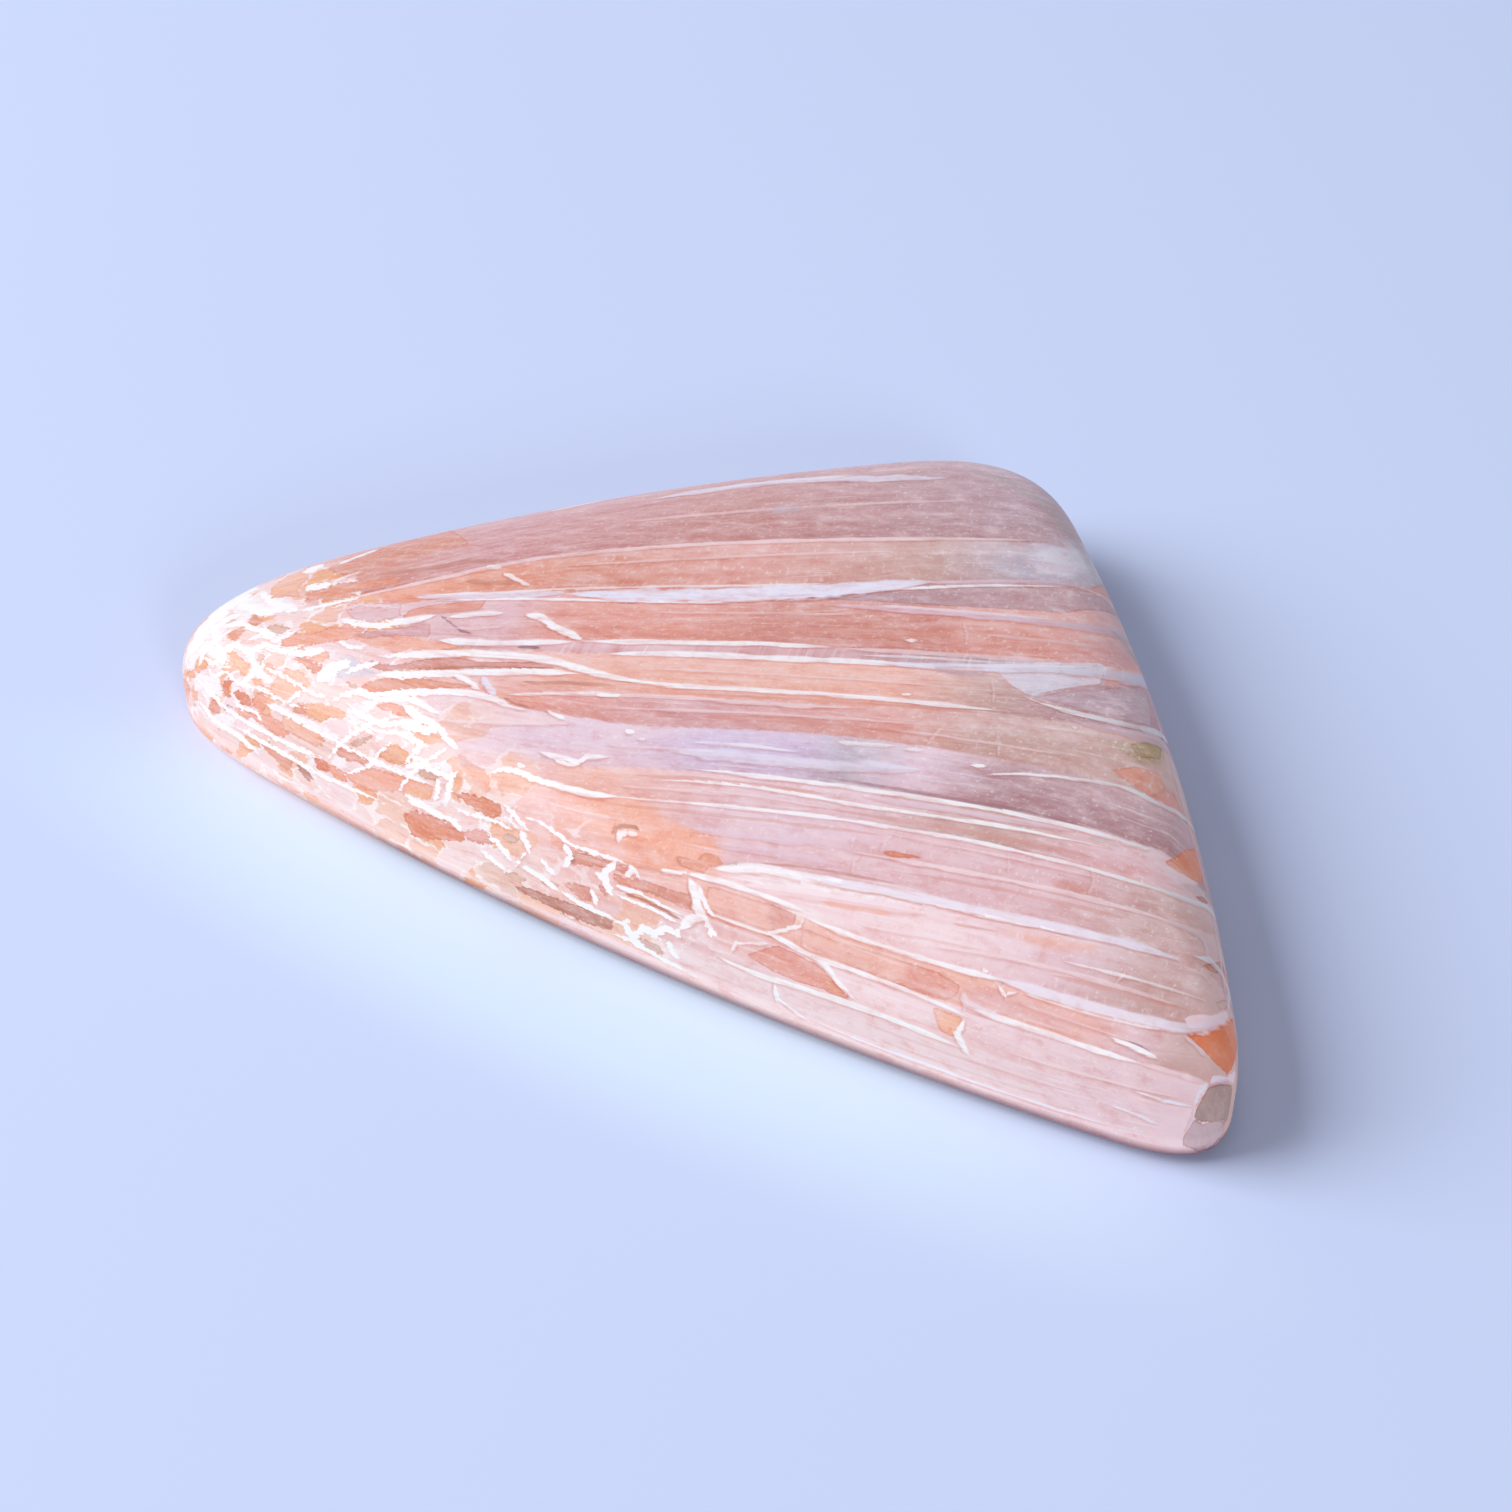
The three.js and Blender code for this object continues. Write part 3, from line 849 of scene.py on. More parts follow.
    (WHITE, 4.2, 1.0, [(194, 676), (204, 690), (214, 694), (222, 706), (240, 722), (262, 730), (300, 751),
                       (332, 763)]),
    (WHITE, 4.2, 1.0, [(232, 724), (262, 743), (286, 754), (312, 770), (346, 790), (384, 802)]),
    (WHITE, 5, 1.0, [(198, 700), (214, 720), (240, 737), (262, 757)]),
    (PINK_WHITE, 4.2, 0.9, [(250, 748), (264, 767), (300, 790), (346, 816), (400, 846)]),
    (WHITE, 4.2, 1.0, [(286, 704), (302, 690)]),
    (WHITE, 4.2, 1.0, [(264, 668), (276, 672), (292, 682), (306, 690), (330, 700)]),
    (WHITE, 5, 1.0, [(326, 762), (338, 746), (352, 734), (374, 722), (402, 716)]),
    (WHITE, 4.2, 1.0, [(346, 774), (370, 766), (380, 751), (394, 741)]),
    (WHITE, 4.2, 1.0, [(398, 792), (410, 775), (422, 764), (450, 746)]),
    (WHITE, 6.7, 1.0, [(330, 702), (356, 691), (378, 698), (412, 700), (442, 716)]),
    (WHITE, 12, 1.0, [(316, 682), (334, 668), (352, 660)]),
    (WHITE, 6.7, 1.0, [(346, 702), (360, 715), (382, 723), (430, 722)]),
    (WHITE, 5, 1.0, [(348, 726), (370, 730), (410, 735), (420, 745), (412, 756), (430, 766), (442, 776)]),
    (WHITE, 4.2, 1.0, [(232, 700), (242, 708), (256, 712), (262, 722)]),
    (WHITE, 4.2, 1.0, [(204, 656), (212, 664), (220, 662), (232, 668)]),
    (WHITE, 4.2, 1.0, [(338, 640), (352, 648), (366, 646)]),
    (WHITE, 4.2, 1.0, [(340, 618), (356, 622), (372, 627)]),
    # white strokes of the crackled slope
    (WHITE, 7, 1.0, [(403, 793), (412, 800), (425, 806), (440, 816), (455, 822), (463, 836)]),
    (WHITE, 6, 1.0, [(437, 778), (438, 790), (434, 802)]),
    (WHITE, 6, 1.0, [(452, 768), (450, 785), (446, 804)]),
    (WHITE, 7, 1.0, [(459, 770), (450, 778), (438, 772), (420, 764), (404, 768)]),
    (WHITE, 5, 1.0, [(503, 803), (512, 812), (520, 822), (530, 832)]),
    (WHITE, 4, 1.0, [(516, 806), (510, 820), (518, 830)]),
    (WHITE, 5, 1.0, [(520, 815), (540, 822), (560, 836), (574, 846), (602, 855), (630, 865)]),
    (WHITE, 5, 1.0, [(455, 808), (470, 814), (485, 818), (500, 822), (515, 832)]),
    (WHITE, 5, 1.0, [(487, 834), (497, 842), (505, 852), (512, 862)]),
    (WHITE, 6, 1.0, [(520, 830), (526, 842), (530, 856)]),
    (WHITE, 4, 1.0, [(532, 845), (522, 857), (515, 868)]),
    (WHITE, 5, 1.0, [(480, 850), (495, 862), (506, 870)]),
    (WHITE, 5, 1.0, [(540, 858), (548, 868), (556, 876)]),
    (WHITE, 6, 1.0, [(564, 842), (570, 856), (564, 868)]),
    (WHITE, 6, 1.0, [(629, 864), (633, 870), (625, 877)]),
    (WHITE, 7, 1.0, [(594, 872), (600, 876), (606, 871), (606, 884), (613, 897)]),
    (WHITE, 5, 1.0, [(590, 888), (594, 895), (596, 906)]),
    (WHITE, 4, 1.0, [(612, 884), (640, 894), (662, 905), (684, 916)]),
    (WHITE, 4, 1.0, [(616, 894), (644, 905), (668, 917), (680, 924)]),
    (BROWN, 4, 0.9, [(622, 893), (648, 902), (668, 912), (683, 921)]),
    (WHITE, 8, 1.0, [(612, 921), (624, 924), (632, 935), (644, 929), (655, 934), (666, 928), (676, 933),
                     (686, 922)]),
    (WHITE, 6, 1.0, [(610, 934), (628, 940), (640, 948), (656, 958), (670, 966), (690, 976)]),
    (WHITE, 6, 0.9, [(668, 940), (672, 952), (680, 960)]),
    (PINK_WHITE, 4, 0.8, [(400, 846), (440, 866), (480, 887), (520, 906), (560, 925), (600, 943),
                          (650, 966)]),
    # the pale rim of the right side
    (PINK_WHITE, 3.5, 0.6, [(1142, 676), (1158, 716), (1172, 765), (1184, 808), (1196, 850), (1207, 890),
                            (1218, 930), (1228, 970), (1234, 1010), (1237, 1060)]),
    # the heel's grey prism
    (WHITE, 5, 0.9, [(1209, 1083), (1200, 1094), (1194, 1106)]),
    (PINK_WHITE, 3, 0.7, [(1194, 1106), (1193, 1118), (1188, 1128), (1183, 1138)]),
    (PINK_WHITE, 4, 0.8, [(1184, 1036), (1196, 1046), (1208, 1058)]),
    (LILAC, 4, 0.7, [(1209, 1085), (1220, 1082), (1230, 1080)]),
    (LILAC, 4, 0.7, [(1224, 1124), (1226, 1136), (1222, 1147), (1212, 1155)]),
    # the crackled slope by the tip
    (WHITE, 5, 1.0, [(560, 891), (580, 903), (598, 912), (618, 921)]),
    (WHITE, 5, 1.0, [(520, 866), (540, 876), (560, 892)]),
]

# Soft areas of one colour: colour, strength, and the pixels of their corners
AREAS = [
    (GROUND, 0.95, [(176, 690), (186, 650), (240, 595), (300, 566), (322, 572), (296, 600), (330, 618),
                    (340, 640), (362, 655), (345, 680), (375, 698), (440, 706), (446, 740), (462, 768),
                    (500, 806), (530, 832), (545, 860), (500, 880), (440, 876), (340, 816), (240, 768),
                    (182, 718)]),
    (GREY_BLUE, 0.7, [(990, 568), (1019, 556), (1030, 546), (1085, 543), (1102, 575), (1102, 585),
                      (1060, 581), (1010, 577)]),
    (BLUE_WHITE, 0.5, [(1026, 560), (1040, 549), (1080, 550), (1090, 570), (1070, 578), (1040, 572)]),
    (SALMON, 0.7, [(1104, 672), (1140, 668), (1148, 690), (1108, 686)]),
    (OLIVE, 0.6, [(1100, 738), (1130, 745), (1162, 741), (1166, 766), (1140, 764)]),
    (BRICK, 0.9, [(488, 776), (533, 783), (587, 800), (640, 803), (690, 830), (720, 845), (722, 872),
                  (690, 866), (640, 845), (600, 838), (560, 830), (510, 822), (495, 795)]),
    (BRICK, 0.8, [(600, 842), (650, 845), (690, 851), (722, 862), (716, 876), (680, 874), (640, 868),
                  (600, 855)]),
    (PINK_WHITE, 0.9, [(404, 697), (440, 696), (480, 696), (500, 704), (530, 712), (560, 721), (520, 723),
                       (440, 720), (424, 712)]),
    (BRICK, 0.6, [(1000, 928), (1060, 938), (1100, 946), (1092, 952), (1040, 948)]),
    (PINK, 0.6, [(966, 988), (1000, 992), (1060, 1008), (1080, 1026), (1060, 1032), (1000, 1014),
                 (970, 1002)]),
    (RUST, 0.7, [(1052, 882), (1066, 880), (1078, 886), (1098, 892), (1076, 893), (1062, 890)]),
    (WHITE, 0.7, [(716, 868), (756, 868), (810, 877), (900, 893), (960, 906), (900, 902), (840, 898),
                  (760, 886)]),
    (WHITE, 0.5, [(770, 905), (810, 908), (840, 925), (800, 922)]),
    (SAND, 0.6, [(470, 845), (520, 850), (545, 870), (520, 886), (480, 870)]),
    (FRONT_PINK, 0.65, [(600, 926), (650, 934), (690, 960), (700, 1010), (620, 970)]),
    (PINK, 0.6, [(598, 900), (667, 915), (690, 935), (660, 930), (600, 912)]),
    (SALMON, 0.5, [(700, 918), (745, 934), (790, 948), (780, 968), (740, 958), (705, 940)]),
    (SALMON, 0.5, [(1010, 1000), (1060, 1008), (1100, 1022), (1130, 1036), (1090, 1034), (1030, 1016)]),
]

# Blades and cells with sharp edges: colour, and the pixels of their corners
BLADES = [
    # by the right side
    (DUSK, [(800, 598), (881, 590), (919, 584), (996, 582), (1069, 586), (1119, 600), (1121, 620),
            (1061, 614), (1000, 609), (942, 606), (881, 602)]),
    (RUST, [(1028, 596), (1068, 600), (1073, 612), (1034, 608)]),
    (RUST, [(1087, 590), (1104, 584), (1114, 593)]),
    (SILVER, [(996, 668), (1050, 665), (1104, 664), (1100, 684), (1050, 691), (1030, 696), (1010, 684)]),
    (GREY_MAUVE, [(1032, 697), (1099, 690), (1147, 693), (1152, 728), (1115, 719), (1076, 708)]),
    (OLIVE, [(1130, 744), (1150, 742), (1162, 748), (1160, 760), (1138, 758)]),
    (RUSSET, [(1112, 770), (1140, 767), (1160, 774), (1166, 790), (1150, 797), (1138, 787), (1124, 779)]),
    (RUST, [(1151, 799), (1166, 790), (1174, 794), (1184, 818), (1178, 816), (1164, 807)]),
    (ORANGE, [(1164, 862), (1176, 857), (1184, 850), (1196, 849), (1201, 866), (1203, 884), (1194, 881),
              (1178, 872)]),
    (BROWN, [(1194, 897), (1203, 896), (1209, 904), (1202, 903)]),
    (BROWN, [(1202, 965), (1214, 963), (1222, 961), (1225, 972), (1214, 974)]),
    (TERRACOTTA, [(1220, 976), (1226, 974), (1232, 990), (1226, 988)]),
    (TAN, [(1215, 1003), (1224, 999), (1230, 1004), (1222, 1013)]),
    (PALE_PINK, [(1184, 1018), (1200, 1014), (1214, 1016), (1226, 1010), (1229, 1016), (1224, 1024),
                 (1206, 1034), (1190, 1030)]),
    # the heel's orange: the stone's own orange, partly a painted glow of light through the corner
    (HEEL_ORANGE, [(1182, 1031), (1195, 1035), (1206, 1036), (1216, 1030), (1226, 1022), (1233, 1018),
                   (1237, 1045), (1233, 1066), (1227, 1075), (1216, 1064), (1206, 1053), (1195, 1042)]),
    (PRISM, [(1209, 1087), (1232, 1086), (1230, 1122), (1214, 1123), (1200, 1122), (1194, 1117),
             (1197, 1107)]),
    (PRISM_FOOT, [(1194, 1119), (1202, 1125), (1228, 1125), (1232, 1140), (1222, 1156), (1205, 1160),
                  (1184, 1150), (1184, 1136), (1190, 1127)]),
    (LILAC, [(1212, 1076), (1226, 1077), (1236, 1070), (1234, 1084), (1210, 1084)]),
    # wedges in the pink bands
    (ORANGE, [(878, 852), (893, 851), (908, 854), (926, 858), (905, 858), (890, 857)]),
    # bricks of the front slope
    (TERRACOTTA, [(674, 856), (684, 857), (696, 861), (704, 852), (718, 856), (724, 864), (708, 868),
                  (704, 874), (690, 870), (680, 866)]),
    (BRICK_PINK, [(708, 885), (744, 896), (779, 908), (774, 930), (767, 931), (728, 917), (705, 909)]),
    (PEACH_PINK, [(768, 903), (797, 914), (793, 928), (776, 931), (762, 928)]),
    (BRICK_PINK, [(802, 927), (838, 942), (873, 951), (915, 965), (905, 986), (861, 970), (835, 964),
                  (800, 948)]),
    (SALMON, [(903, 961), (938, 972), (961, 986), (957, 996), (944, 1001), (892, 983)]),
    (SALMON, [(746, 955), (776, 945), (800, 955), (816, 965), (834, 992), (800, 983), (770, 970)]),
    (TERRACOTTA, [(811, 959), (821, 967), (854, 1002), (826, 992)]),
    (APRICOT, [(932, 1006), (963, 1018), (955, 1038), (940, 1031)]),
    (BROWN, [(512, 888), (522, 886), (550, 896), (585, 908), (612, 920), (614, 929), (604, 930),
             (580, 922), (560, 913), (540, 903), (525, 896)]),
    (RUSSET, [(572, 850), (586, 853), (604, 860), (629, 868), (626, 874), (606, 868), (590, 866),
              (576, 864)]),
    (RUSSET, [(563, 883), (576, 883), (590, 887), (592, 900), (584, 901), (570, 891)]),
    (RUSSET, [(598, 884), (604, 886), (610, 897), (602, 894)]),
    (TERRACOTTA, [(612, 873), (626, 878), (642, 882), (637, 890), (624, 885), (614, 880)]),
    (RUSSET, [(632, 875), (644, 880), (660, 886), (678, 892), (694, 895), (695, 912), (680, 907),
              (660, 897), (640, 890)]),
    (SAND, [(537, 878), (548, 879), (560, 885), (556, 888), (545, 885)]),
    (SAND, [(503, 873), (515, 872), (528, 880), (518, 883)]),
    (TAN, [(632, 938), (648, 940), (658, 946), (668, 958), (652, 953), (640, 945)]),
    (FRONT_PINK, [(556, 916), (604, 938), (640, 954), (690, 980), (716, 1016), (630, 986), (560, 952)]),
    (BROWN, [(567, 846), (572, 850), (575, 858), (572, 866), (569, 858)]),
    # blades between the white lines left of the middle
    (RUSSET, [(327, 568), (340, 563), (360, 556), (400, 543), (450, 531), (470, 545), (420, 556),
              (372, 567), (345, 575), (335, 573)]),
    (TERRACOTTA, [(303, 604), (316, 600), (345, 596), (362, 589), (400, 583), (398, 578), (356, 582),
                  (340, 583), (328, 588), (310, 592)]),
    (APRICOT, [(268, 599), (273, 587), (288, 576), (306, 569), (309, 578), (297, 590), (300, 597),
               (283, 596)]),
    (PINK, [(347, 612), (356, 604), (375, 603), (402, 602), (400, 617), (380, 621), (358, 621), (350, 617)]),
    (SALMON, [(402, 618), (410, 610), (430, 605), (487, 600), (480, 610), (430, 615), (412, 620)]),
    (ROSE, [(352, 636), (365, 632), (390, 629), (430, 624), (430, 637), (390, 636), (370, 638)]),
    (RUST, [(362, 663), (372, 661), (392, 666), (420, 660), (453, 656), (480, 662), (533, 662),
            (560, 667), (540, 669), (487, 667), (426, 669), (385, 671), (372, 668)]),
    (TERRACOTTA, [(360, 689), (366, 683), (380, 679), (418, 677), (440, 681), (480, 686), (455, 689),
                  (420, 689), (385, 692), (366, 693)]),
    (SAND, [(346, 682), (355, 684), (364, 690), (358, 691), (350, 686)]),
    # pale patches of the tip
    (WHITE, [(186, 668), (190, 655), (196, 642), (203, 630), (212, 621), (222, 617), (228, 626),
             (222, 634), (224, 648), (228, 660), (220, 668), (212, 658), (204, 650), (196, 660),
             (192, 669)]),
    (WHITE, [(236, 606), (250, 598), (263, 590), (268, 594), (264, 602), (276, 597), (288, 600),
             (298, 607), (290, 613), (276, 613), (266, 617), (258, 610), (250, 618), (242, 621),
             (234, 614)]),
    (GROUND, [(222, 645), (236, 640), (246, 630), (258, 629), (267, 632), (272, 641), (284, 649),
              (274, 656), (262, 650), (248, 648), (240, 652), (232, 647)]),
    (APRICOT, [(286, 651), (298, 645), (310, 651), (326, 650), (330, 658), (320, 664), (306, 656),
               (296, 657)]),
    (WHITE, [(246, 652), (255, 654), (258, 665), (268, 674), (277, 682), (266, 683), (255, 676),
             (248, 682), (254, 692), (246, 692), (238, 684), (246, 674), (250, 664)]),
    (WHITE, [(194, 680), (200, 672), (210, 677), (218, 676), (222, 686), (223, 698), (214, 694),
             (207, 702), (201, 690), (195, 692)]),
    (WHITE, [(214, 715), (224, 713), (236, 716), (234, 726), (224, 731), (212, 724)]),
    (WHITE, [(266, 703), (278, 704), (292, 711), (308, 720), (324, 726), (340, 738), (334, 742),
             (316, 732), (300, 722), (284, 714), (272, 710)]),
    (GROUND, [(294, 692), (306, 685), (322, 683), (338, 690), (356, 699), (346, 704), (330, 700),
              (312, 699), (298, 702)]),
    (SILVER, [(326, 670), (338, 659), (352, 656), (362, 667), (378, 673), (360, 677), (340, 679)]),
    (WHITE, [(354, 702), (382, 700), (372, 709), (352, 720), (344, 715)]),
    (GROUND, [(350, 727), (376, 721), (400, 722), (392, 732), (374, 730), (358, 737)]),
    # cells of the crackled tip
    (APRICOT, [(283, 713), (302, 721), (323, 734), (315, 746), (298, 738), (282, 727)]),
    (BRICK, [(278, 648), (283, 640), (290, 632), (310, 634), (335, 626), (360, 632), (350, 640),
             (310, 645)]),
    (SAND, [(267, 626), (280, 625), (290, 628), (284, 633), (276, 634), (270, 631)]),
    (TERRACOTTA, [(291, 659), (303, 655), (313, 662), (324, 668), (322, 673), (314, 673), (303, 665)]),
    (TANGERINE, [(194, 671), (197, 660), (204, 652), (210, 660), (207, 668), (199, 673)]),
    (TANGERINE, [(186, 672), (193, 670), (196, 677), (190, 681)]),
    (BRICK, [(180, 684), (188, 682), (191, 690), (187, 700), (184, 706), (180, 700)]),
    (SAND, [(222, 624), (231, 617), (236, 620), (228, 624)]),
    (TERRACOTTA, [(253, 612), (258, 618), (264, 622), (256, 625), (251, 629), (249, 622)]),
    (TERRACOTTA, [(227, 634), (234, 630), (246, 629), (241, 636), (237, 642), (231, 639)]),
    (TANGERINE, [(224, 650), (232, 649), (241, 658), (253, 666), (250, 675), (246, 679), (238, 669),
                 (231, 660)]),
    (SAND, [(256, 660), (260, 651), (265, 656), (261, 664)]),
    (APRICOT, [(262, 672), (268, 662), (277, 668), (271, 677)]),
    (APRICOT, [(270, 690), (278, 674), (287, 668), (302, 672), (312, 685), (300, 696), (285, 703),
               (275, 699)]),
    (TANGERINE, [(251, 680), (260, 678), (264, 686), (256, 688)]),
    (ORANGE, [(233, 692), (240, 690), (249, 697), (253, 705), (247, 708), (240, 702)]),
    (BRICK, [(253, 697), (262, 691), (268, 700), (265, 708), (261, 715), (254, 706)]),
    (ORANGE, [(221, 690), (224, 682), (228, 678), (233, 682), (228, 688), (232, 698), (227, 698)]),
    (TERRACOTTA, [(216, 696), (222, 702), (220, 714), (213, 714), (208, 708)]),
    (BROWN, [(226, 703), (232, 707), (230, 713), (225, 710)]),
    (BRICK, [(233, 707), (243, 708), (253, 716), (246, 720), (238, 714)]),
    (BRICK, [(244, 711), (258, 711), (270, 715), (282, 722), (289, 736), (277, 737), (266, 727),
             (255, 720)]),
    (TANGERINE, [(283, 716), (296, 721), (310, 729), (325, 740), (321, 747), (309, 743), (295, 734),
                 (287, 726)]),
    (TANGERINE, [(302, 704), (320, 703), (336, 707), (350, 714), (342, 720), (330, 717), (322, 723),
                 (306, 716)]),
    (TERRACOTTA, [(291, 711), (297, 704), (304, 704), (308, 715), (299, 714)]),
    (TANGERINE, [(242, 742), (248, 732), (255, 736), (260, 747), (250, 745)]),
    (TERRACOTTA, [(261, 744), (268, 741), (280, 751), (293, 759), (291, 771), (284, 769), (275, 759),
                  (266, 751)]),
    (BROWN, [(296, 763), (305, 767), (314, 779), (308, 781), (300, 771)]),
    (ORANGE, [(313, 756), (320, 757), (328, 763), (330, 772), (318, 770)]),
    (BRICK, [(328, 763), (342, 771), (350, 784), (338, 780), (330, 772)]),
    (TERRACOTTA, [(336, 754), (341, 744), (349, 747), (360, 752), (370, 760), (366, 766), (350, 761),
                  (342, 758)]),
    (SAND, [(349, 743), (360, 738), (373, 735), (366, 742), (357, 747)]),
    (TANGERINE, [(375, 754), (385, 747), (397, 744), (407, 752), (414, 762), (402, 766), (388, 761)]),
    (BRICK, [(345, 772), (372, 768), (402, 776), (434, 786), (430, 792), (400, 792), (372, 791),
             (355, 786)]),
    (SAND, [(415, 772), (426, 768), (442, 775), (437, 780), (424, 778)]),
    (BRICK, [(376, 704), (392, 702), (404, 708), (418, 715), (402, 717), (391, 712), (383, 709)]),
    (ORANGE, [(453, 793), (466, 793), (480, 797), (496, 802), (503, 810), (499, 819), (490, 818),
              (472, 808)]),
    (TANGERINE, [(405, 784), (420, 782), (434, 788), (431, 799), (420, 800), (402, 794)]),
    (ORANGE, [(403, 815), (412, 810), (425, 814), (440, 819), (453, 822), (462, 832), (467, 840),
              (455, 842), (440, 840), (425, 840), (412, 835)]),
    (SALMON, [(463, 833), (475, 828), (486, 832), (497, 841), (492, 845), (480, 844), (468, 839)]),
    (SAND, [(502, 836), (511, 833), (520, 838), (516, 844), (508, 843)]),
]

# Where the white crackle net lies: strength, and the pixels of the area's corners
CRACKLED = [
    (1.0, [(170, 700), (180, 620), (260, 570), (330, 562), (400, 610), (420, 700), (470, 760), (520, 830),
           (520, 890), (480, 910), (330, 820), (200, 750)]),
    (0.6, [(380, 600), (470, 700), (560, 790), (640, 880), (720, 950), (690, 1000), (480, 910), (300, 800)]),
]


# Painting the pattern onto the vertices


def smooth_path(points, steps=6):
    """The points joined by a smooth curve that passes through them all, or by straight lines if short."""
    points = np.asarray(points, float)
    if np.linalg.norm(points[-1] - points[0]) < SHORT_PIXELS and len(points) > 2:
        return np.vstack([*(np.linspace(a, b, 3)[:-1] for a, b in zip(points, points[1:])), points[-1:]])
    if len(points) < 3:
        return np.linspace(points[0], points[-1], steps * 2)
    padded = np.vstack([2 * points[0] - points[1], points, 2 * points[-1] - points[-2]])
    before, start, end, after = (padded[i : len(padded) - 3 + i, None] for i in range(4))
    t = np.linspace(0, 1, steps, endpoint=False)[None, :, None]
    curve = (
        2 * start
        + (end - before) * t
        + (2 * before - 5 * start + 4 * end - after) * t**2
        + (3 * start - before - 3 * end + after) * t**3
    ) / 2
    return np.vstack([curve.reshape(-1, 2), points[-1:]])


def straightened(pixels):
    """The same points with the small wobbles taken out, where they run far."""
    points = np.asarray(pixels, float)
    if np.linalg.norm(points[-1] - points[0]) < FAR_PIXELS or len(points) < 4:
        return points
    for _ in range(2):
        points[1:-1] = (points[:-2] + 2 * points[1:-1] + points[2:]) / 4
    return points


def along_and_across(points):
    """How far points are along the fibres from where they fan out, and how far across, to the front."""
    away = points - FIBRE_CENTRE
    return np.hypot(away[..., 0], away[..., 1]), -FIBRE_REACH * np.arctan2(away[..., 1], away[..., 0])


def lattice_noise(along, across, cell, seed):
    """Smooth random numbers from -1 to 1 over cells of this length and width."""
    draws = np.random.default_rng(seed).uniform(-1, 1, (LATTICE_SIZE, LATTICE_SIZE))
    x, y = along / cell[0], across / cell[1]
    column, row = np.floor(x).astype(int), np.floor(y).astype(int)
    x, y = x - column, y - row
    x, y = x * x * (3 - 2 * x), y * y * (3 - 2 * y)

    def corner(i, j):
        return draws[(row + j) % LATTICE_SIZE, (column + i) % LATTICE_SIZE]

    near = corner(0, 0) * (1 - x) + corner(1, 0) * x
    far = corner(0, 1) * (1 - x) + corner(1, 1) * x
    return near * (1 - y) + far * y


def step_over(value, softness):
    share = np.clip(value / softness + 0.5, 0, 1)
    return share * share * (3 - 2 * share)


def paint(colours, where, amount, colour):
    colours[where] += amount[:, None] * (colour - colours[where])


def paint_bands(points):
    """The bands' colours, and a coordinate across the fibres that follows the bands' edges."""
    along, across = along_and_across(points)
    across = across + BAND_WANDER * lattice_noise(along, across, WANDER_CELL, WANDER_SEED)
    colours = np.zeros((len(points), 3))
    edges, levels = [], []
    for boundary, stops in BANDS:
        pixels = smooth_path(straightened(boundary))
        edge_along, edge_across = along_and_across(under_pixels(pixels))
        order = np.argsort(edge_along)
        edge = np.interp(along, edge_along[order], edge_across[order])
        stop_along = np.interp([x for x, _ in stops], pixels[order, 0], edge_along[order])
        shade = [np.interp(along, stop_along, [colour[i] for _, colour in stops]) for i in range(3)]
        amount = step_over(across - edge, BOUNDARY_SOFTNESS) if edges else np.ones(len(points))
        paint(colours, slice(None), amount, np.stack(shade, -1))
        edges.append(edge)
        levels.append(float(np.mean(edge_across)))
    for far, near in zip(edges, edges[1:]):
        share = np.clip((across - far) / np.maximum(near - far, NARROWEST_BAND), 0, 1)
        between = np.flatnonzero((share > 0) & (share < 1))
        share = share[between]
        paint(colours, between, PALE_SIDE * (1 - share) ** 3, PINK_WHITE)
        paint(colours, between, DEEP_SIDE * share**3, RUSSET * colours[between])
    return colours, follow_edges(across, np.stack(edges), np.array(levels))


def follow_edges(across, edges, levels):
    """Moves a coordinate so that it is constant along each edge, and linear between two edges."""
    edges = np.maximum.accumulate(edges, axis=0) + EDGE_GAP * np.arange(len(edges))[:, None]
    levels = np.maximum.accumulate(levels) + EDGE_GAP * np.arange(len(levels))
    followed = across - edges[0] + levels[0]
    for k in range(len(edges) - 1):
        share = (across - edges[k]) / (edges[k + 1] - edges[k])
        between = levels[k] + share * (levels[k + 1] - levels[k])
        followed = np.where(share > 0, between, followed)
    return np.where(across > edges[-1], levels[-1] + across - edges[-1], followed)


def nearby(points, path, reach):
    low, high = path.min(axis=0) - reach, path.max(axis=0) + reach
    return np.flatnonzero(np.all((points > low) & (points < high), axis=1))


def seam_pieces(seam):
    """The straight pieces of a seam's centre line on the pattern, one a row of numbers.

    A row holds its start, direction and length, the half widths and the shares of the whole path at
    both ends, the strength, the colour, how much it shades the stone in front, and which side is that.
    """
    colour, width, strength, pixels = seam
    pixels = smooth_path(straightened(pixels))
    ahead = np.gradient(pixels, axis=0)
    side = np.stack([-ahead[:, 1], ahead[:, 0]], -1) / np.linalg.norm(ahead, axis=1)[:, None]
    plan, drop = surface_under(pixels)
    path = rolled_out(plan, drop)
    halves = under_pixels(pixels + side * width / 2) - under_pixels(pixels - side * width / 2)
    halves = np.minimum(np.linalg.norm(halves, axis=1) / 2, width * WIDEST_HALF)
    if inset_from(RIGHT, plan[-1]) < RIGHT_SHOULDER and inset_from(FRONT, plan[-1]) > HEEL_REACH:
        onward = path[-1] - path[-4]
        path = np.vstack([path, path[-1] + onward / np.linalg.norm(onward) * ROUND_THE_SIDE])
        halves = np.append(halves, halves[-1])
    span = np.diff(path, axis=0)
    length = np.maximum(np.linalg.norm(span, axis=1), 1e-6)
    travel = np.concatenate([[0], np.cumsum(length)]) / length.sum()
    shading = float(colour.min() > SHADING_SEAMS)
    facing = np.where(span[:, 0] > 0, -1.0, 1.0)
    same = np.tile([strength, *colour, shading], (len(span), 1))
    columns = [path[:-1], span / length[:, None], length, halves[:-1], halves[1:], travel[:-1], travel[1:]]
    return np.column_stack([*columns, same, facing])


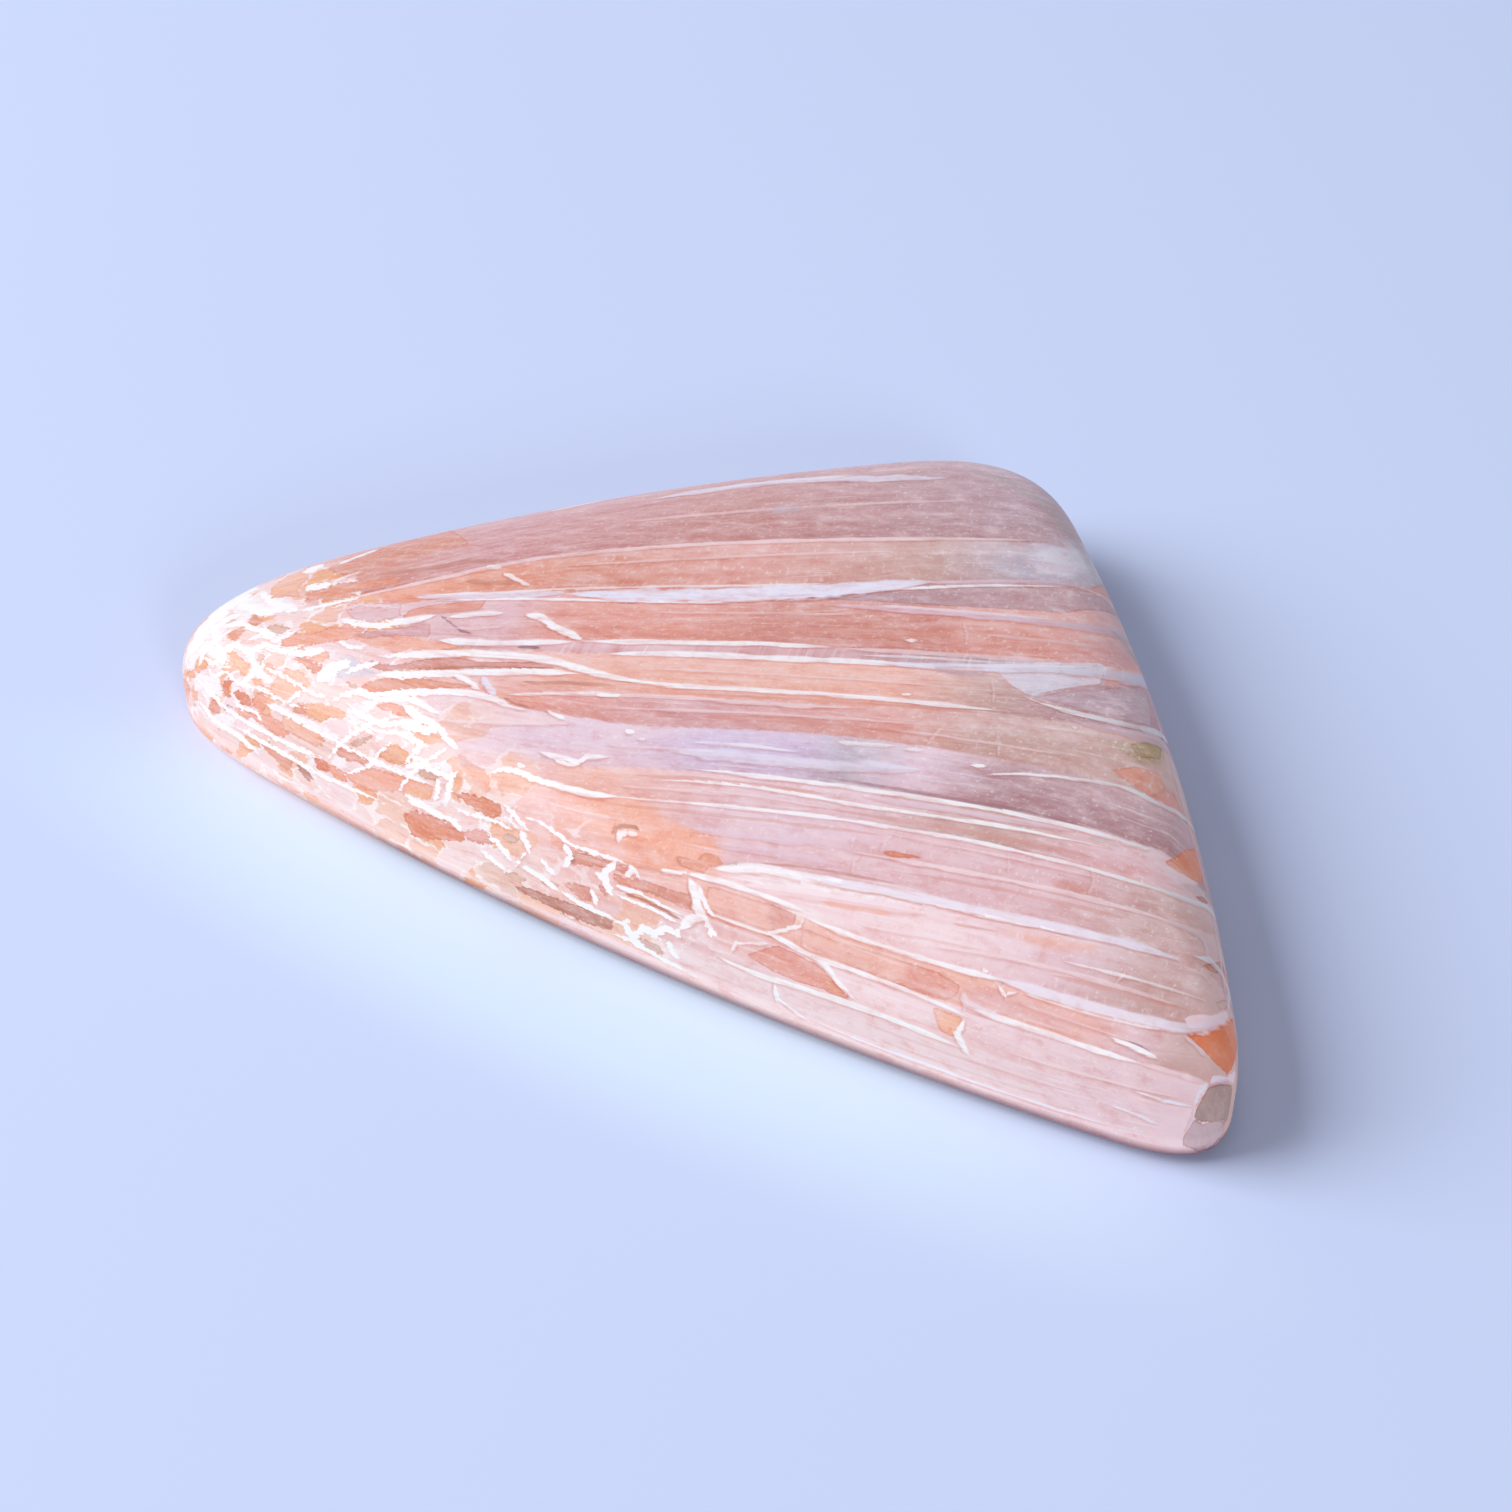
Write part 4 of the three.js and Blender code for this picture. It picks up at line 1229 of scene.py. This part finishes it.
def nearest_pieces(points, pieces):
    """The nearest piece to each point, and how far away its edge is."""
    gaps, nearest = np.full(len(points), np.inf), np.zeros(len(points), int)
    for i, (x, y, east, north, length, start_half, end_half, *_) in enumerate(pieces):
        away = points - (x, y)
        travel = np.clip(away @ (east, north), 0, length)
        gap = np.hypot(away[:, 0] - travel * east, away[:, 1] - travel * north)
        gap = gap - (start_half + (end_half - start_half) * travel / length)
        nearest = np.where(gap < gaps, i, nearest)
        gaps = np.minimum(gaps, gap)
    return gaps, nearest


def lay_seams(points, faces):
    """The two seams nearest to each face, seen from each of its corners.

    Gives, for both, the corners' distances in front of the centre line, half widths and strengths,
    and the seams' colours. The distances are signed, so that they run evenly across a face.
    """
    owner = np.repeat(np.arange(len(faces)), [len(face) for face in faces])
    corners = points[np.concatenate(faces)]
    sums = [np.bincount(owner, corners[:, i]) for i in range(2)]
    centres = np.column_stack(sums) / np.bincount(owner)[:, None]
    gaps, chosen = np.full((2, len(faces)), np.inf), np.zeros((2, len(faces)), int)
    table, total = [], 0
    for seam in SEAMS:
        pieces = seam_pieces(seam)
        middles = pieces[:, :2] + pieces[:, 2:4] * pieces[:, 4:5] / 2
        where = nearby(centres, middles, SEAM_REACH + FACE_MARGIN)
        gap, nearest = nearest_pieces(centres[where], pieces)
        first = gap < gaps[0, where]
        moved = where[first]
        gaps[1, moved], chosen[1, moved] = gaps[0, moved], chosen[0, moved]
        gaps[0, moved], chosen[0, moved] = gap[first], total + nearest[first]
        second = ~first & (gap < gaps[1, where])
        moved = where[second]
        gaps[1, moved], chosen[1, moved] = gap[second], total + nearest[second]
        table.append(pieces)
        total += len(pieces)
    table = np.concatenate(table)
    layers = []
    for gap, choice in zip(gaps, chosen):
        rows = table[choice[owner]]
        x, y, east, north, length, start_half, end_half, start_share, end_share, strength = rows.T[:10]
        away_x, away_y = corners[:, 0] - x, corners[:, 1] - y
        along = (away_x * east + away_y * north) / length
        side = (east * away_y - north * away_x) * rows[:, -1]
        share = start_share + (end_share - start_share) * along
        taper = np.clip(np.minimum(share, 1 - share) * SEAM_TAPER, -1, 1)
        half = (start_half + (end_half - start_half) * np.clip(along, 0, 1)) * taper
        near = gap[owner] < SEAM_REACH
        half = np.where(near, half, -SEAM_REACH)
        strength = np.where(near, strength * np.clip(taper * SEAM_FADE, 0, 1), 0)
        layers.append((np.column_stack([side, half, strength]), rows[:, 10:14]))
    return layers


def depth_inside(points, corners):
    """How deep points lie inside a closed outline, and less than 0 outside."""
    gap = np.full(len(points), np.inf)
    inside = np.zeros(len(points), bool)
    for start, end in zip(corners, np.roll(corners, -1, axis=0)):
        span = end - start
        t = np.clip((points - start) @ span / max(span @ span, 1e-12), 0, 1)
        gap = np.minimum(gap, np.linalg.norm(points - start - t[:, None] * span, axis=1))
        crosses = (start[1] > points[:, 1]) != (end[1] > points[:, 1])
        reach = start[0] + (points[:, 1] - start[1]) * span[0] / (span[1] if span[1] else 1e-12)
        inside ^= crosses & (points[:, 0] < reach)
    return np.where(inside, gap, -gap)


def paint_area(colours, points, area):
    colour, strength, pixels = area
    corners = under_pixels(pixels)
    where = nearby(points, corners, AREA_SOFTNESS)
    inside = step_over(depth_inside(points[where], corners), AREA_SOFTNESS)
    paint(colours, where, strength * inside, colour)


def lay_blades(points):
    """How deep points lie inside the nearest blade, and its colour."""
    depths, colours = np.full(len(points), -BLADE_REACH), np.tile(GROUND, (len(points), 1))
    for colour, pixels in BLADES:
        corners = under_pixels(pixels)
        where = nearby(points, corners, BLADE_REACH)
        depth = depth_inside(points[where], corners)
        deeper = depth > depths[where]
        depths[where[deeper]] = depth[deeper]
        colours[where[deeper]] = colour
    return depths, colours


def crackle_amount(points):
    amount = np.zeros(len(points))
    for strength, pixels in CRACKLED:
        inside = step_over(depth_inside(points, under_pixels(pixels)), CRACKLE_SOFTNESS)
        amount = np.maximum(amount, strength * inside)
    return amount


# The material

# Noise over the colours: its coordinates, how they are stretched, detail and roughness, and the tints
# that it lays on, each between two values of the noise and with its greatest strength
TEXTURE = [
    # tones of whole crystal blades
    ("grain", (0.1, 1.7), 2.0, 0.55, [(PINK_WHITE, "MIX", 0.4, 0.75, 0.22)]),
    # mottling along the fibres, then wider clouds
    ("grain", (1.6, 3.6), 4.0, 0.7,
     [(PINK_WHITE, "MIX", 0.5, 0.7, 0.3), (SALMON, "MULTIPLY", 0.5, 0.3, 0.3)]),
    ("fan", (0.8, 2.2), 4.0, 0.6,
     [(PINK_WHITE, "MIX", 0.5, 0.72, 0.35), (SALMON, "MULTIPLY", 0.5, 0.3, 0.25)]),
    # deep, pale and fine fibres
    ("grain", (0.25, 3.0), 3.0, 0.6, [(RUSSET, "MULTIPLY", 0.5, 0.75, 0.2)]),
    ("grain", (0.2, 3.0), 3.0, 0.55, [(WHITE, "MIX", 0.58, 0.75, 0.25)]),
    ("grain", (0.3, 12.0), 2.0, 0.55,
     [(WHITE, "MIX", 0.5, 0.7, 0.07), (SALMON, "MULTIPLY", 0.5, 0.3, 0.07)]),
    # hairs and speckle
    ("grain", (0.3, 9.0), 2.0, 0.5,
     [(WHITE, "MIX", 0.64, 0.7, 0.2), (RUSSET, "MULTIPLY", 0.34, 0.28, 0.14)]),
    ("grain", (6.0, 8.0), 3.0, 0.7, [(WHITE, "MIX", 0.54, 0.72, 0.38)]),
]

# The rust shade in front of a pale seam: its reach, its strength and the share of it in the crackle
SEAM_SHADE_REACH = 0.12
SEAM_SHADE = 0.5
SEAM_SHADE_IN_CRACKLE = 0.4

# Half the width of a seam's soft edge, in the crackle and outside it
SEAM_EDGES = (0.014, 0.028)

# The stone's polish, and the paper's
POLISH = {
    "Roughness": 0.5,
    "IOR": 1.51,
    "Specular IOR Level": 0.3,
    "Subsurface Weight": 0.2,
    "Subsurface Radius": (1.0, 0.55, 0.4),
    "Subsurface Scale": 0.0003,
    "Coat Weight": 0.15,
    "Coat Roughness": 0.1,
}
PAPER = {"Roughness": 0.85, "Specular IOR Level": 0.2}


class Nodes:
    """Short calls that add shader nodes and join them."""

    def __init__(self, material):
        material.use_nodes = True
        self.tree = material.node_tree
        self.shader = self.tree.nodes["Principled BSDF"]

    def add(self, kind, inputs=(), **settings):
        node = self.tree.nodes.new(kind)
        for name, value in settings.items():
            setattr(node, name, value)
        for socket, value in dict(inputs).items():
            self.set(node.inputs[socket], value)
        return node

    def set(self, socket, value):
        if isinstance(value, bpy.types.NodeSocket):
            self.tree.links.new(value, socket)
        else:
            socket.default_value = value

    def set_shader(self, values):
        for name, value in values.items():
            self.set(self.shader.inputs[name], value)

    def attribute(self, name):
        return self.add("ShaderNodeAttribute", attribute_name=name).outputs

    def vector_math(self, operation, a, b):
        return self.add("ShaderNodeVectorMath", {0: a, 1: b}, operation=operation).outputs[0]

    def stretched(self, vector, scale):
        return self.vector_math("MULTIPLY", vector, scale)

    def noise(self, vector, detail=3.0, roughness=0.55):
        inputs = {"Vector": vector, "Scale": 1.0, "Detail": detail, "Roughness": roughness}
        return self.add("ShaderNodeTexNoise", inputs).outputs["Fac"]

    def ranged(self, value, start, end, low=0.0, high=1.0):
        inputs = {"Value": value, "From Min": start, "From Max": end, "To Min": low, "To Max": high}
        return self.add("ShaderNodeMapRange", inputs, interpolation_type="SMOOTHSTEP").outputs[0]

    def varied(self, vector, scale, *limits):
        """Noise of this scale, between the limits that ranged takes."""
        return self.ranged(self.noise(self.stretched(vector, (*scale, 1.0))), *limits)

    def sum(self, a, b):
        return self.add("ShaderNodeMath", {0: a, 1: b}, operation="ADD").outputs[0]

    def times(self, product, *factors):
        for factor in factors:
            product = self.add("ShaderNodeMath", {0: product, 1: factor}, operation="MULTIPLY").outputs[0]
        return product

    def mixed(self, amount, a, b, blend="MIX"):
        node = self.add("ShaderNodeMix", {0: amount, 6: a, 7: b}, data_type="RGBA", blend_type=blend)
        return node.outputs[2]


def crackle_layer(nodes, colour, crackled):
    """Lays the crackled ground over a colour: pale cells of many tones, in a ragged white net."""
    cells = nodes.attribute("cells")["Vector"]
    inputs = {"Vector": cells, "Scale": 1.3, "Detail": 4.0, "Roughness": 0.65}
    wander = nodes.add("ShaderNodeTexNoise", inputs).outputs["Color"]
    bent = nodes.vector_math("ADD", cells, nodes.stretched(wander, (CELL_WANDER, CELL_WANDER, 0.0)))
    inputs = {"Vector": bent, "Scale": 1.0}
    blocks = {"voronoi_dimensions": "2D", "distance": "CHEBYCHEV"}
    nearest = nodes.add("ShaderNodeTexVoronoi", inputs, feature="F1", **blocks).outputs
    next_one = nodes.add("ShaderNodeTexVoronoi", inputs, feature="F2", **blocks).outputs
    to_edge = nodes.sum(next_one["Distance"], nodes.times(nearest["Distance"], -1.0))
    tone = nodes.add("ShaderNodeSeparateColor", {"Color": nearest["Color"]}).outputs
    peach = nodes.times(nodes.ranged(tone["Red"], 0.1, 0.9, 0.0, 0.9), crackled)
    colour = nodes.mixed(peach, colour, (*PALE_PEACH, 1))
    deeper = nodes.times(nodes.ranged(tone["Green"], 0.6, 0.85, 0.0, 0.9), crackled)
    colour = nodes.mixed(deeper, colour, (*TANGERINE, 1))
    thick = nodes.varied(cells, (0.7, 0.7), 0.35, 0.7, -0.05, 0.26)
    net = nodes.ranged(nodes.sum(thick, nodes.times(to_edge, -1.0)), -0.04, 0.06, 0.0, 0.8)
    return nodes.mixed(nodes.times(net, crackled), colour, (*WHITE, 1))


def blade_layer(nodes, colour, crackled, fan):
    """Lays the blades and cells with sharp edges over a colour, the deep ones with darker rims."""
    blade_colour = nodes.attribute("blade_colour")
    jagged = nodes.varied(fan, (5.0, 6.0), 0.3, 0.7, -1.0, 1.0)
    jagged = nodes.times(jagged, nodes.ranged(crackled, 0.0, 0.8, 0.015, 0.055))
    blade = nodes.sum(nodes.attribute("blade")["Fac"], jagged)
    cover = nodes.ranged(blade, -0.02, 0.02, 0.0, 0.95)
    colour = nodes.mixed(cover, colour, blade_colour["Color"])
    rim = nodes.times(nodes.ranged(blade, 0.0, 0.09, 0.5, 0.0), cover, blade_colour["Alpha"])
    return nodes.mixed(rim, colour, (*RUSSET, 1), "MULTIPLY")


def texture_layers(nodes, colour, places):
    for place, scale, detail, roughness, tints in TEXTURE:
        value = nodes.noise(nodes.stretched(places[place], (*scale, 1.0)), detail, roughness)
        for tint, blend, start, end, most in tints:
            colour = nodes.mixed(nodes.ranged(value, start, end, 0.0, most), colour, (*tint, 1), blend)
    return colour


def seam_layer(nodes, colour, name, painted_shade_on_seams, uneven, ragged, plain, fading):
    """Lays one seam layer over a colour: a rust shade in front of pale seams, then the seam.

    Seams are crisp where plain is 0, in the crackle, and softer the wider they are where it is 1.
    """
    place = nodes.add("ShaderNodeSeparateXYZ", {"Vector": nodes.attribute(name)["Vector"]}).outputs
    seam = nodes.attribute(name + "_colour")
    side, strength = place["X"], place["Z"]
    half = nodes.sum(nodes.times(place["Y"], uneven), ragged)
    away = nodes.add("ShaderNodeMath", {0: side}, operation="ABSOLUTE").outputs[0]
    inside = nodes.sum(half, nodes.times(away, -1.0))
    shade = nodes.ranged(inside, -SEAM_SHADE_REACH, 0.0, 0.0, SEAM_SHADE)
    shade = nodes.times(shade, nodes.ranged(side, 0.0, 0.02), strength, seam["Alpha"])
    shade = nodes.times(shade, nodes.ranged(plain, 0.0, 1.0, SEAM_SHADE_IN_CRACKLE, 1.0))
    colour = nodes.mixed(shade, colour, (*RUSSET, 1), "MULTIPLY")
    soft = nodes.ranged(plain, 0.0, 1.0, *SEAM_EDGES)
    core = nodes.sum(soft, nodes.times(nodes.ranged(half, 0.06, 0.3, 0.0, 0.1), plain))
    cover = nodes.times(nodes.ranged(inside, nodes.times(soft, -1.0), core), strength, fading)
    return nodes.mixed(cover, colour, nodes.stretched(seam["Color"], painted_shade_on_seams))


def seam_layers(nodes, colour, crackled, places, painted_light_and_shade):
    """Lays the seams, uneven in width, ragged in the crackle and faded here and there outside it."""
    grain, fan = places["grain"], places["fan"]
    plain = nodes.ranged(crackled, 0.0, 0.8, 1.0, 0.0)
    uneven = nodes.varied(grain, (0.9, 3.0), 0.3, 0.7, 0.7, 1.2)
    ragged = nodes.varied(grain, (0.7, 9.0), 0.3, 0.7, -0.03, 0.022)
    broken = nodes.varied(fan, (4.5, 6.5), 0.3, 0.7, -0.055, 0.05)
    ragged = nodes.sum(ragged, nodes.times(broken, crackled))
    fading = nodes.varied(grain, (0.45, 4.0), 0.36, 0.56, 0.65, 1.0)
    patchy = nodes.varied(fan, (2.5, 4.0), 0.3, 0.55, 0.75, 1.0)
    fading = nodes.sum(nodes.times(fading, patchy, plain), nodes.ranged(crackled, 0.0, 0.8))
    # Seams take the painted shade, but not the painted light
    painted_shade_on_seams = nodes.vector_math("MINIMUM", painted_light_and_shade, tuple(STONE_TINT))
    for name in ("seam_behind", "seam_ahead"):
        colour = seam_layer(nodes, colour, name, painted_shade_on_seams, uneven, ragged, plain, fading)
    return colour


def stone_material():
    material = bpy.data.materials.new("polished_scolecite")
    nodes = Nodes(material)
    crackled = nodes.attribute("crackle")["Fac"]
    places = {name: nodes.attribute(name)["Vector"] for name in ("grain", "fan")}
    colour = crackle_layer(nodes, nodes.attribute("stone_colour")["Color"], crackled)
    smooth = blade_layer(nodes, colour, crackled, places["fan"])
    colour = nodes.mixed(nodes.attribute("calm")["Fac"], texture_layers(nodes, smooth, places), smooth)
    # The stone's colour is multiplied by the painted light and shade
    painted_light_and_shade = nodes.attribute("painted_light_and_shade")["Vector"]
    colour = seam_layers(nodes, nodes.stretched(colour, painted_light_and_shade), crackled, places, painted_light_and_shade)
    height = nodes.noise(nodes.stretched(places["grain"], (0.6, 10.0, 1.0)))
    bump = nodes.add("ShaderNodeBump", {"Height": height, "Strength": 0.06, "Distance": 0.0001})
    nodes.set_shader({"Base Color": colour, "Normal": bump.outputs[0], **POLISH})
    return material


def add_attribute(mesh, name, kind, values, domain="POINT"):
    attribute = mesh.attributes.new(name, kind, domain)
    field = {"FLOAT_COLOR": "color", "FLOAT_VECTOR": "vector", "FLOAT": "value"}[kind]
    attribute.data.foreach_set(field, np.ascontiguousarray(values, np.float32).ravel())


def with_column(values, last):
    return np.column_stack([values, np.full(len(values), last)])


def painted_light_balance(mesh):
    """A painted-light factor: more than 1 where the stone gets less light than on its top, less than 1 where
    it gets more.
    """
    normals = np.empty(len(mesh.vertices) * 3)
    mesh.vertex_normals.foreach_get("vector", normals)
    normals = normals.reshape(-1, 3)
    light, top = SKY_SHARE * (1 + normals[:, 2]) / 2, SKY_SHARE
    for place, share in ((KEY_PLACE, KEY_SHARE), (FILL_PLACE, FILL_SHARE)):
        towards = np.array(place) / np.linalg.norm(place)
        light = light + share * np.clip(normals @ towards, 0, None) / towards[2]
        top += share
    light = light[:, None] + np.array(FLOOR_COLOUR) * (1 - normals[:, 2:]) / 2
    mean = light.mean(axis=1, keepdims=True)
    return STONE_TINT * mean / light * np.clip((top / mean) ** PAINTED_LIGHT_STRENGTH, *PAINTED_LIGHT_LIMITS)


def paper_shade(places):
    """The painted shade where the stone meets the paper, and the paler line above it."""
    from_tip = np.clip((places[:, :1] - CONTACT_START) / CONTACT_RUN, 0, 1)
    painted_contact_shade = np.clip((CONTACT_HEIGHT - places[:, 2:]) / CONTACT_FADE, 0, 1) * from_tip
    rim = 1 + RIM_PALER * np.clip(1 - np.abs(places[:, 2:] - RIM_HEIGHT) / RIM_HALF, 0, 1)
    return rim * (1 - painted_contact_shade * (1 - CONTACT_TINT))


def calmness(places):
    """How much less the grain shows."""
    on_right = CALM_START - inset_from(RIGHT, places[:, :2]) / CALM_INSET
    at_heel = (places[:, 0] - HEEL[0] + CALM_HEEL) / CALM_HEEL * CALM_HEEL_RISE
    return np.clip(np.maximum(on_right, at_heel), 0, CALM_MOST)


def cell_places(along, across):
    """Where points lie among the crackle's cells, which grow with the distance from the tip."""
    column = CELLS_ALONG * np.sqrt(np.maximum(along - CELLS_START, 0.2))
    return np.column_stack([column + CELL_SLANT * across, CELLS_ACROSS * across, np.zeros(len(along))])


def make_stone():
    places, faces, pattern = make_surface()
    mesh = bpy.data.meshes.new("stone")
    mesh.from_pydata(((places - np.append(CENTRE, 0)) * MM).tolist(), [], faces)
    mesh.shade_smooth()

    colours, followed = paint_bands(pattern)
    for area in AREAS:
        paint_area(colours, pattern, area)
    depths, blade_colours = lay_blades(pattern)
    along, across = along_and_across(pattern)
    add_attribute(mesh, "stone_colour", "FLOAT_COLOR", with_column(colours, 1))
    add_attribute(mesh, "blade", "FLOAT", depths)
    rims = blade_colours.min(axis=1) < SHADING_SEAMS
    add_attribute(mesh, "blade_colour", "FLOAT_COLOR", np.column_stack([blade_colours, rims]))
    add_attribute(mesh, "crackle", "FLOAT", crackle_amount(pattern))
    add_attribute(mesh, "cells", "FLOAT_VECTOR", cell_places(along, across))
    add_attribute(mesh, "grain", "FLOAT_VECTOR", with_column(np.column_stack([along, followed]), 0))
    add_attribute(mesh, "fan", "FLOAT_VECTOR", with_column(np.column_stack([along, across]), 0))
    add_attribute(mesh, "calm", "FLOAT", calmness(places))
    # Painted light and shade: the lamps' light evened out, and the shade where the stone meets the paper
    add_attribute(mesh, "painted_light_and_shade", "FLOAT_VECTOR", painted_light_balance(mesh) * paper_shade(places))
    for name, (values, shades) in zip(("seam_ahead", "seam_behind"), lay_seams(pattern, faces)):
        add_attribute(mesh, name, "FLOAT_VECTOR", values, "CORNER")
        add_attribute(mesh, name + "_colour", "FLOAT_COLOR", shades, "CORNER")

    mesh.materials.append(stone_material())
    stone = bpy.data.objects.new("polished_stone", mesh)
    bpy.context.collection.objects.link(stone)
    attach(stone, "root")
    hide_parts("cabochon")


# The floor and the light


def make_floor():
    material = bpy.data.materials.new("pale_paper")
    nodes = Nodes(material)
    place = nodes.add("ShaderNodeTexCoord").outputs["Object"]
    mottle = nodes.noise(nodes.stretched(place, (FLOOR_MOTTLE_SCALE,) * 3))
    amount = nodes.ranged(mottle, 0.3, 0.7, 0.0, 0.05)
    colour = nodes.mixed(amount, (*FLOOR_COLOUR, 1), (*FLOOR_MOTTLE, 1))
    # A painted pool of light on the paper in front of the stone
    from_glow = nodes.vector_math("SUBTRACT", place, GLOW_MIDDLE)
    from_glow = nodes.stretched(from_glow, tuple(1 / half for half in GLOW_HALVES))
    glow = nodes.add("ShaderNodeTexGradient", {"Vector": from_glow}, gradient_type="SPHERICAL")
    colour = nodes.mixed(nodes.ranged(glow.outputs["Fac"], 0.0, 0.7), colour, (*GLOW_COLOUR, 1))
    nodes.set_shader({"Base Color": colour, **PAPER})
    half = FLOOR_SIDE / 2
    corners = [(-half, -half, 0), (half, -half, 0), (half, half, 0), (-half, half, 0)]
    mesh = bpy.data.meshes.new("floor")
    mesh.from_pydata(corners, [], [(0, 1, 2, 3)])
    mesh.materials.append(material)
    floor = bpy.data.objects.new("floor", mesh)
    bpy.context.collection.objects.link(floor)


def make_lamp(name, place, side, power):
    data = bpy.data.lights.new(name, "AREA")
    data.size = side
    data.energy = power
    data.color = LAMP_COLOUR
    lamp = bpy.data.objects.new(name, data)
    lamp.location = place
    lamp.rotation_mode = "QUATERNION"
    lamp.rotation_quaternion = (-Vector(place)).to_track_quat("-Z", "Y")
    bpy.context.collection.objects.link(lamp)


def make_light():
    make_lamp("key", KEY_PLACE, KEY_SIDE, KEY_POWER)
    make_lamp("fill", FILL_PLACE, FILL_SIDE, FILL_POWER)
    world = bpy.data.worlds.new("sky")
    bpy.context.scene.world = world
    world.use_nodes = True
    sky = world.node_tree.nodes["Background"]
    sky.inputs["Color"].default_value = (*SKY_COLOUR, 1)
    sky.inputs["Strength"].default_value = SKY_STRENGTH
    bpy.context.scene.view_settings.view_transform = "Standard"


make_camera()
make_stone()
make_floor()
make_light()
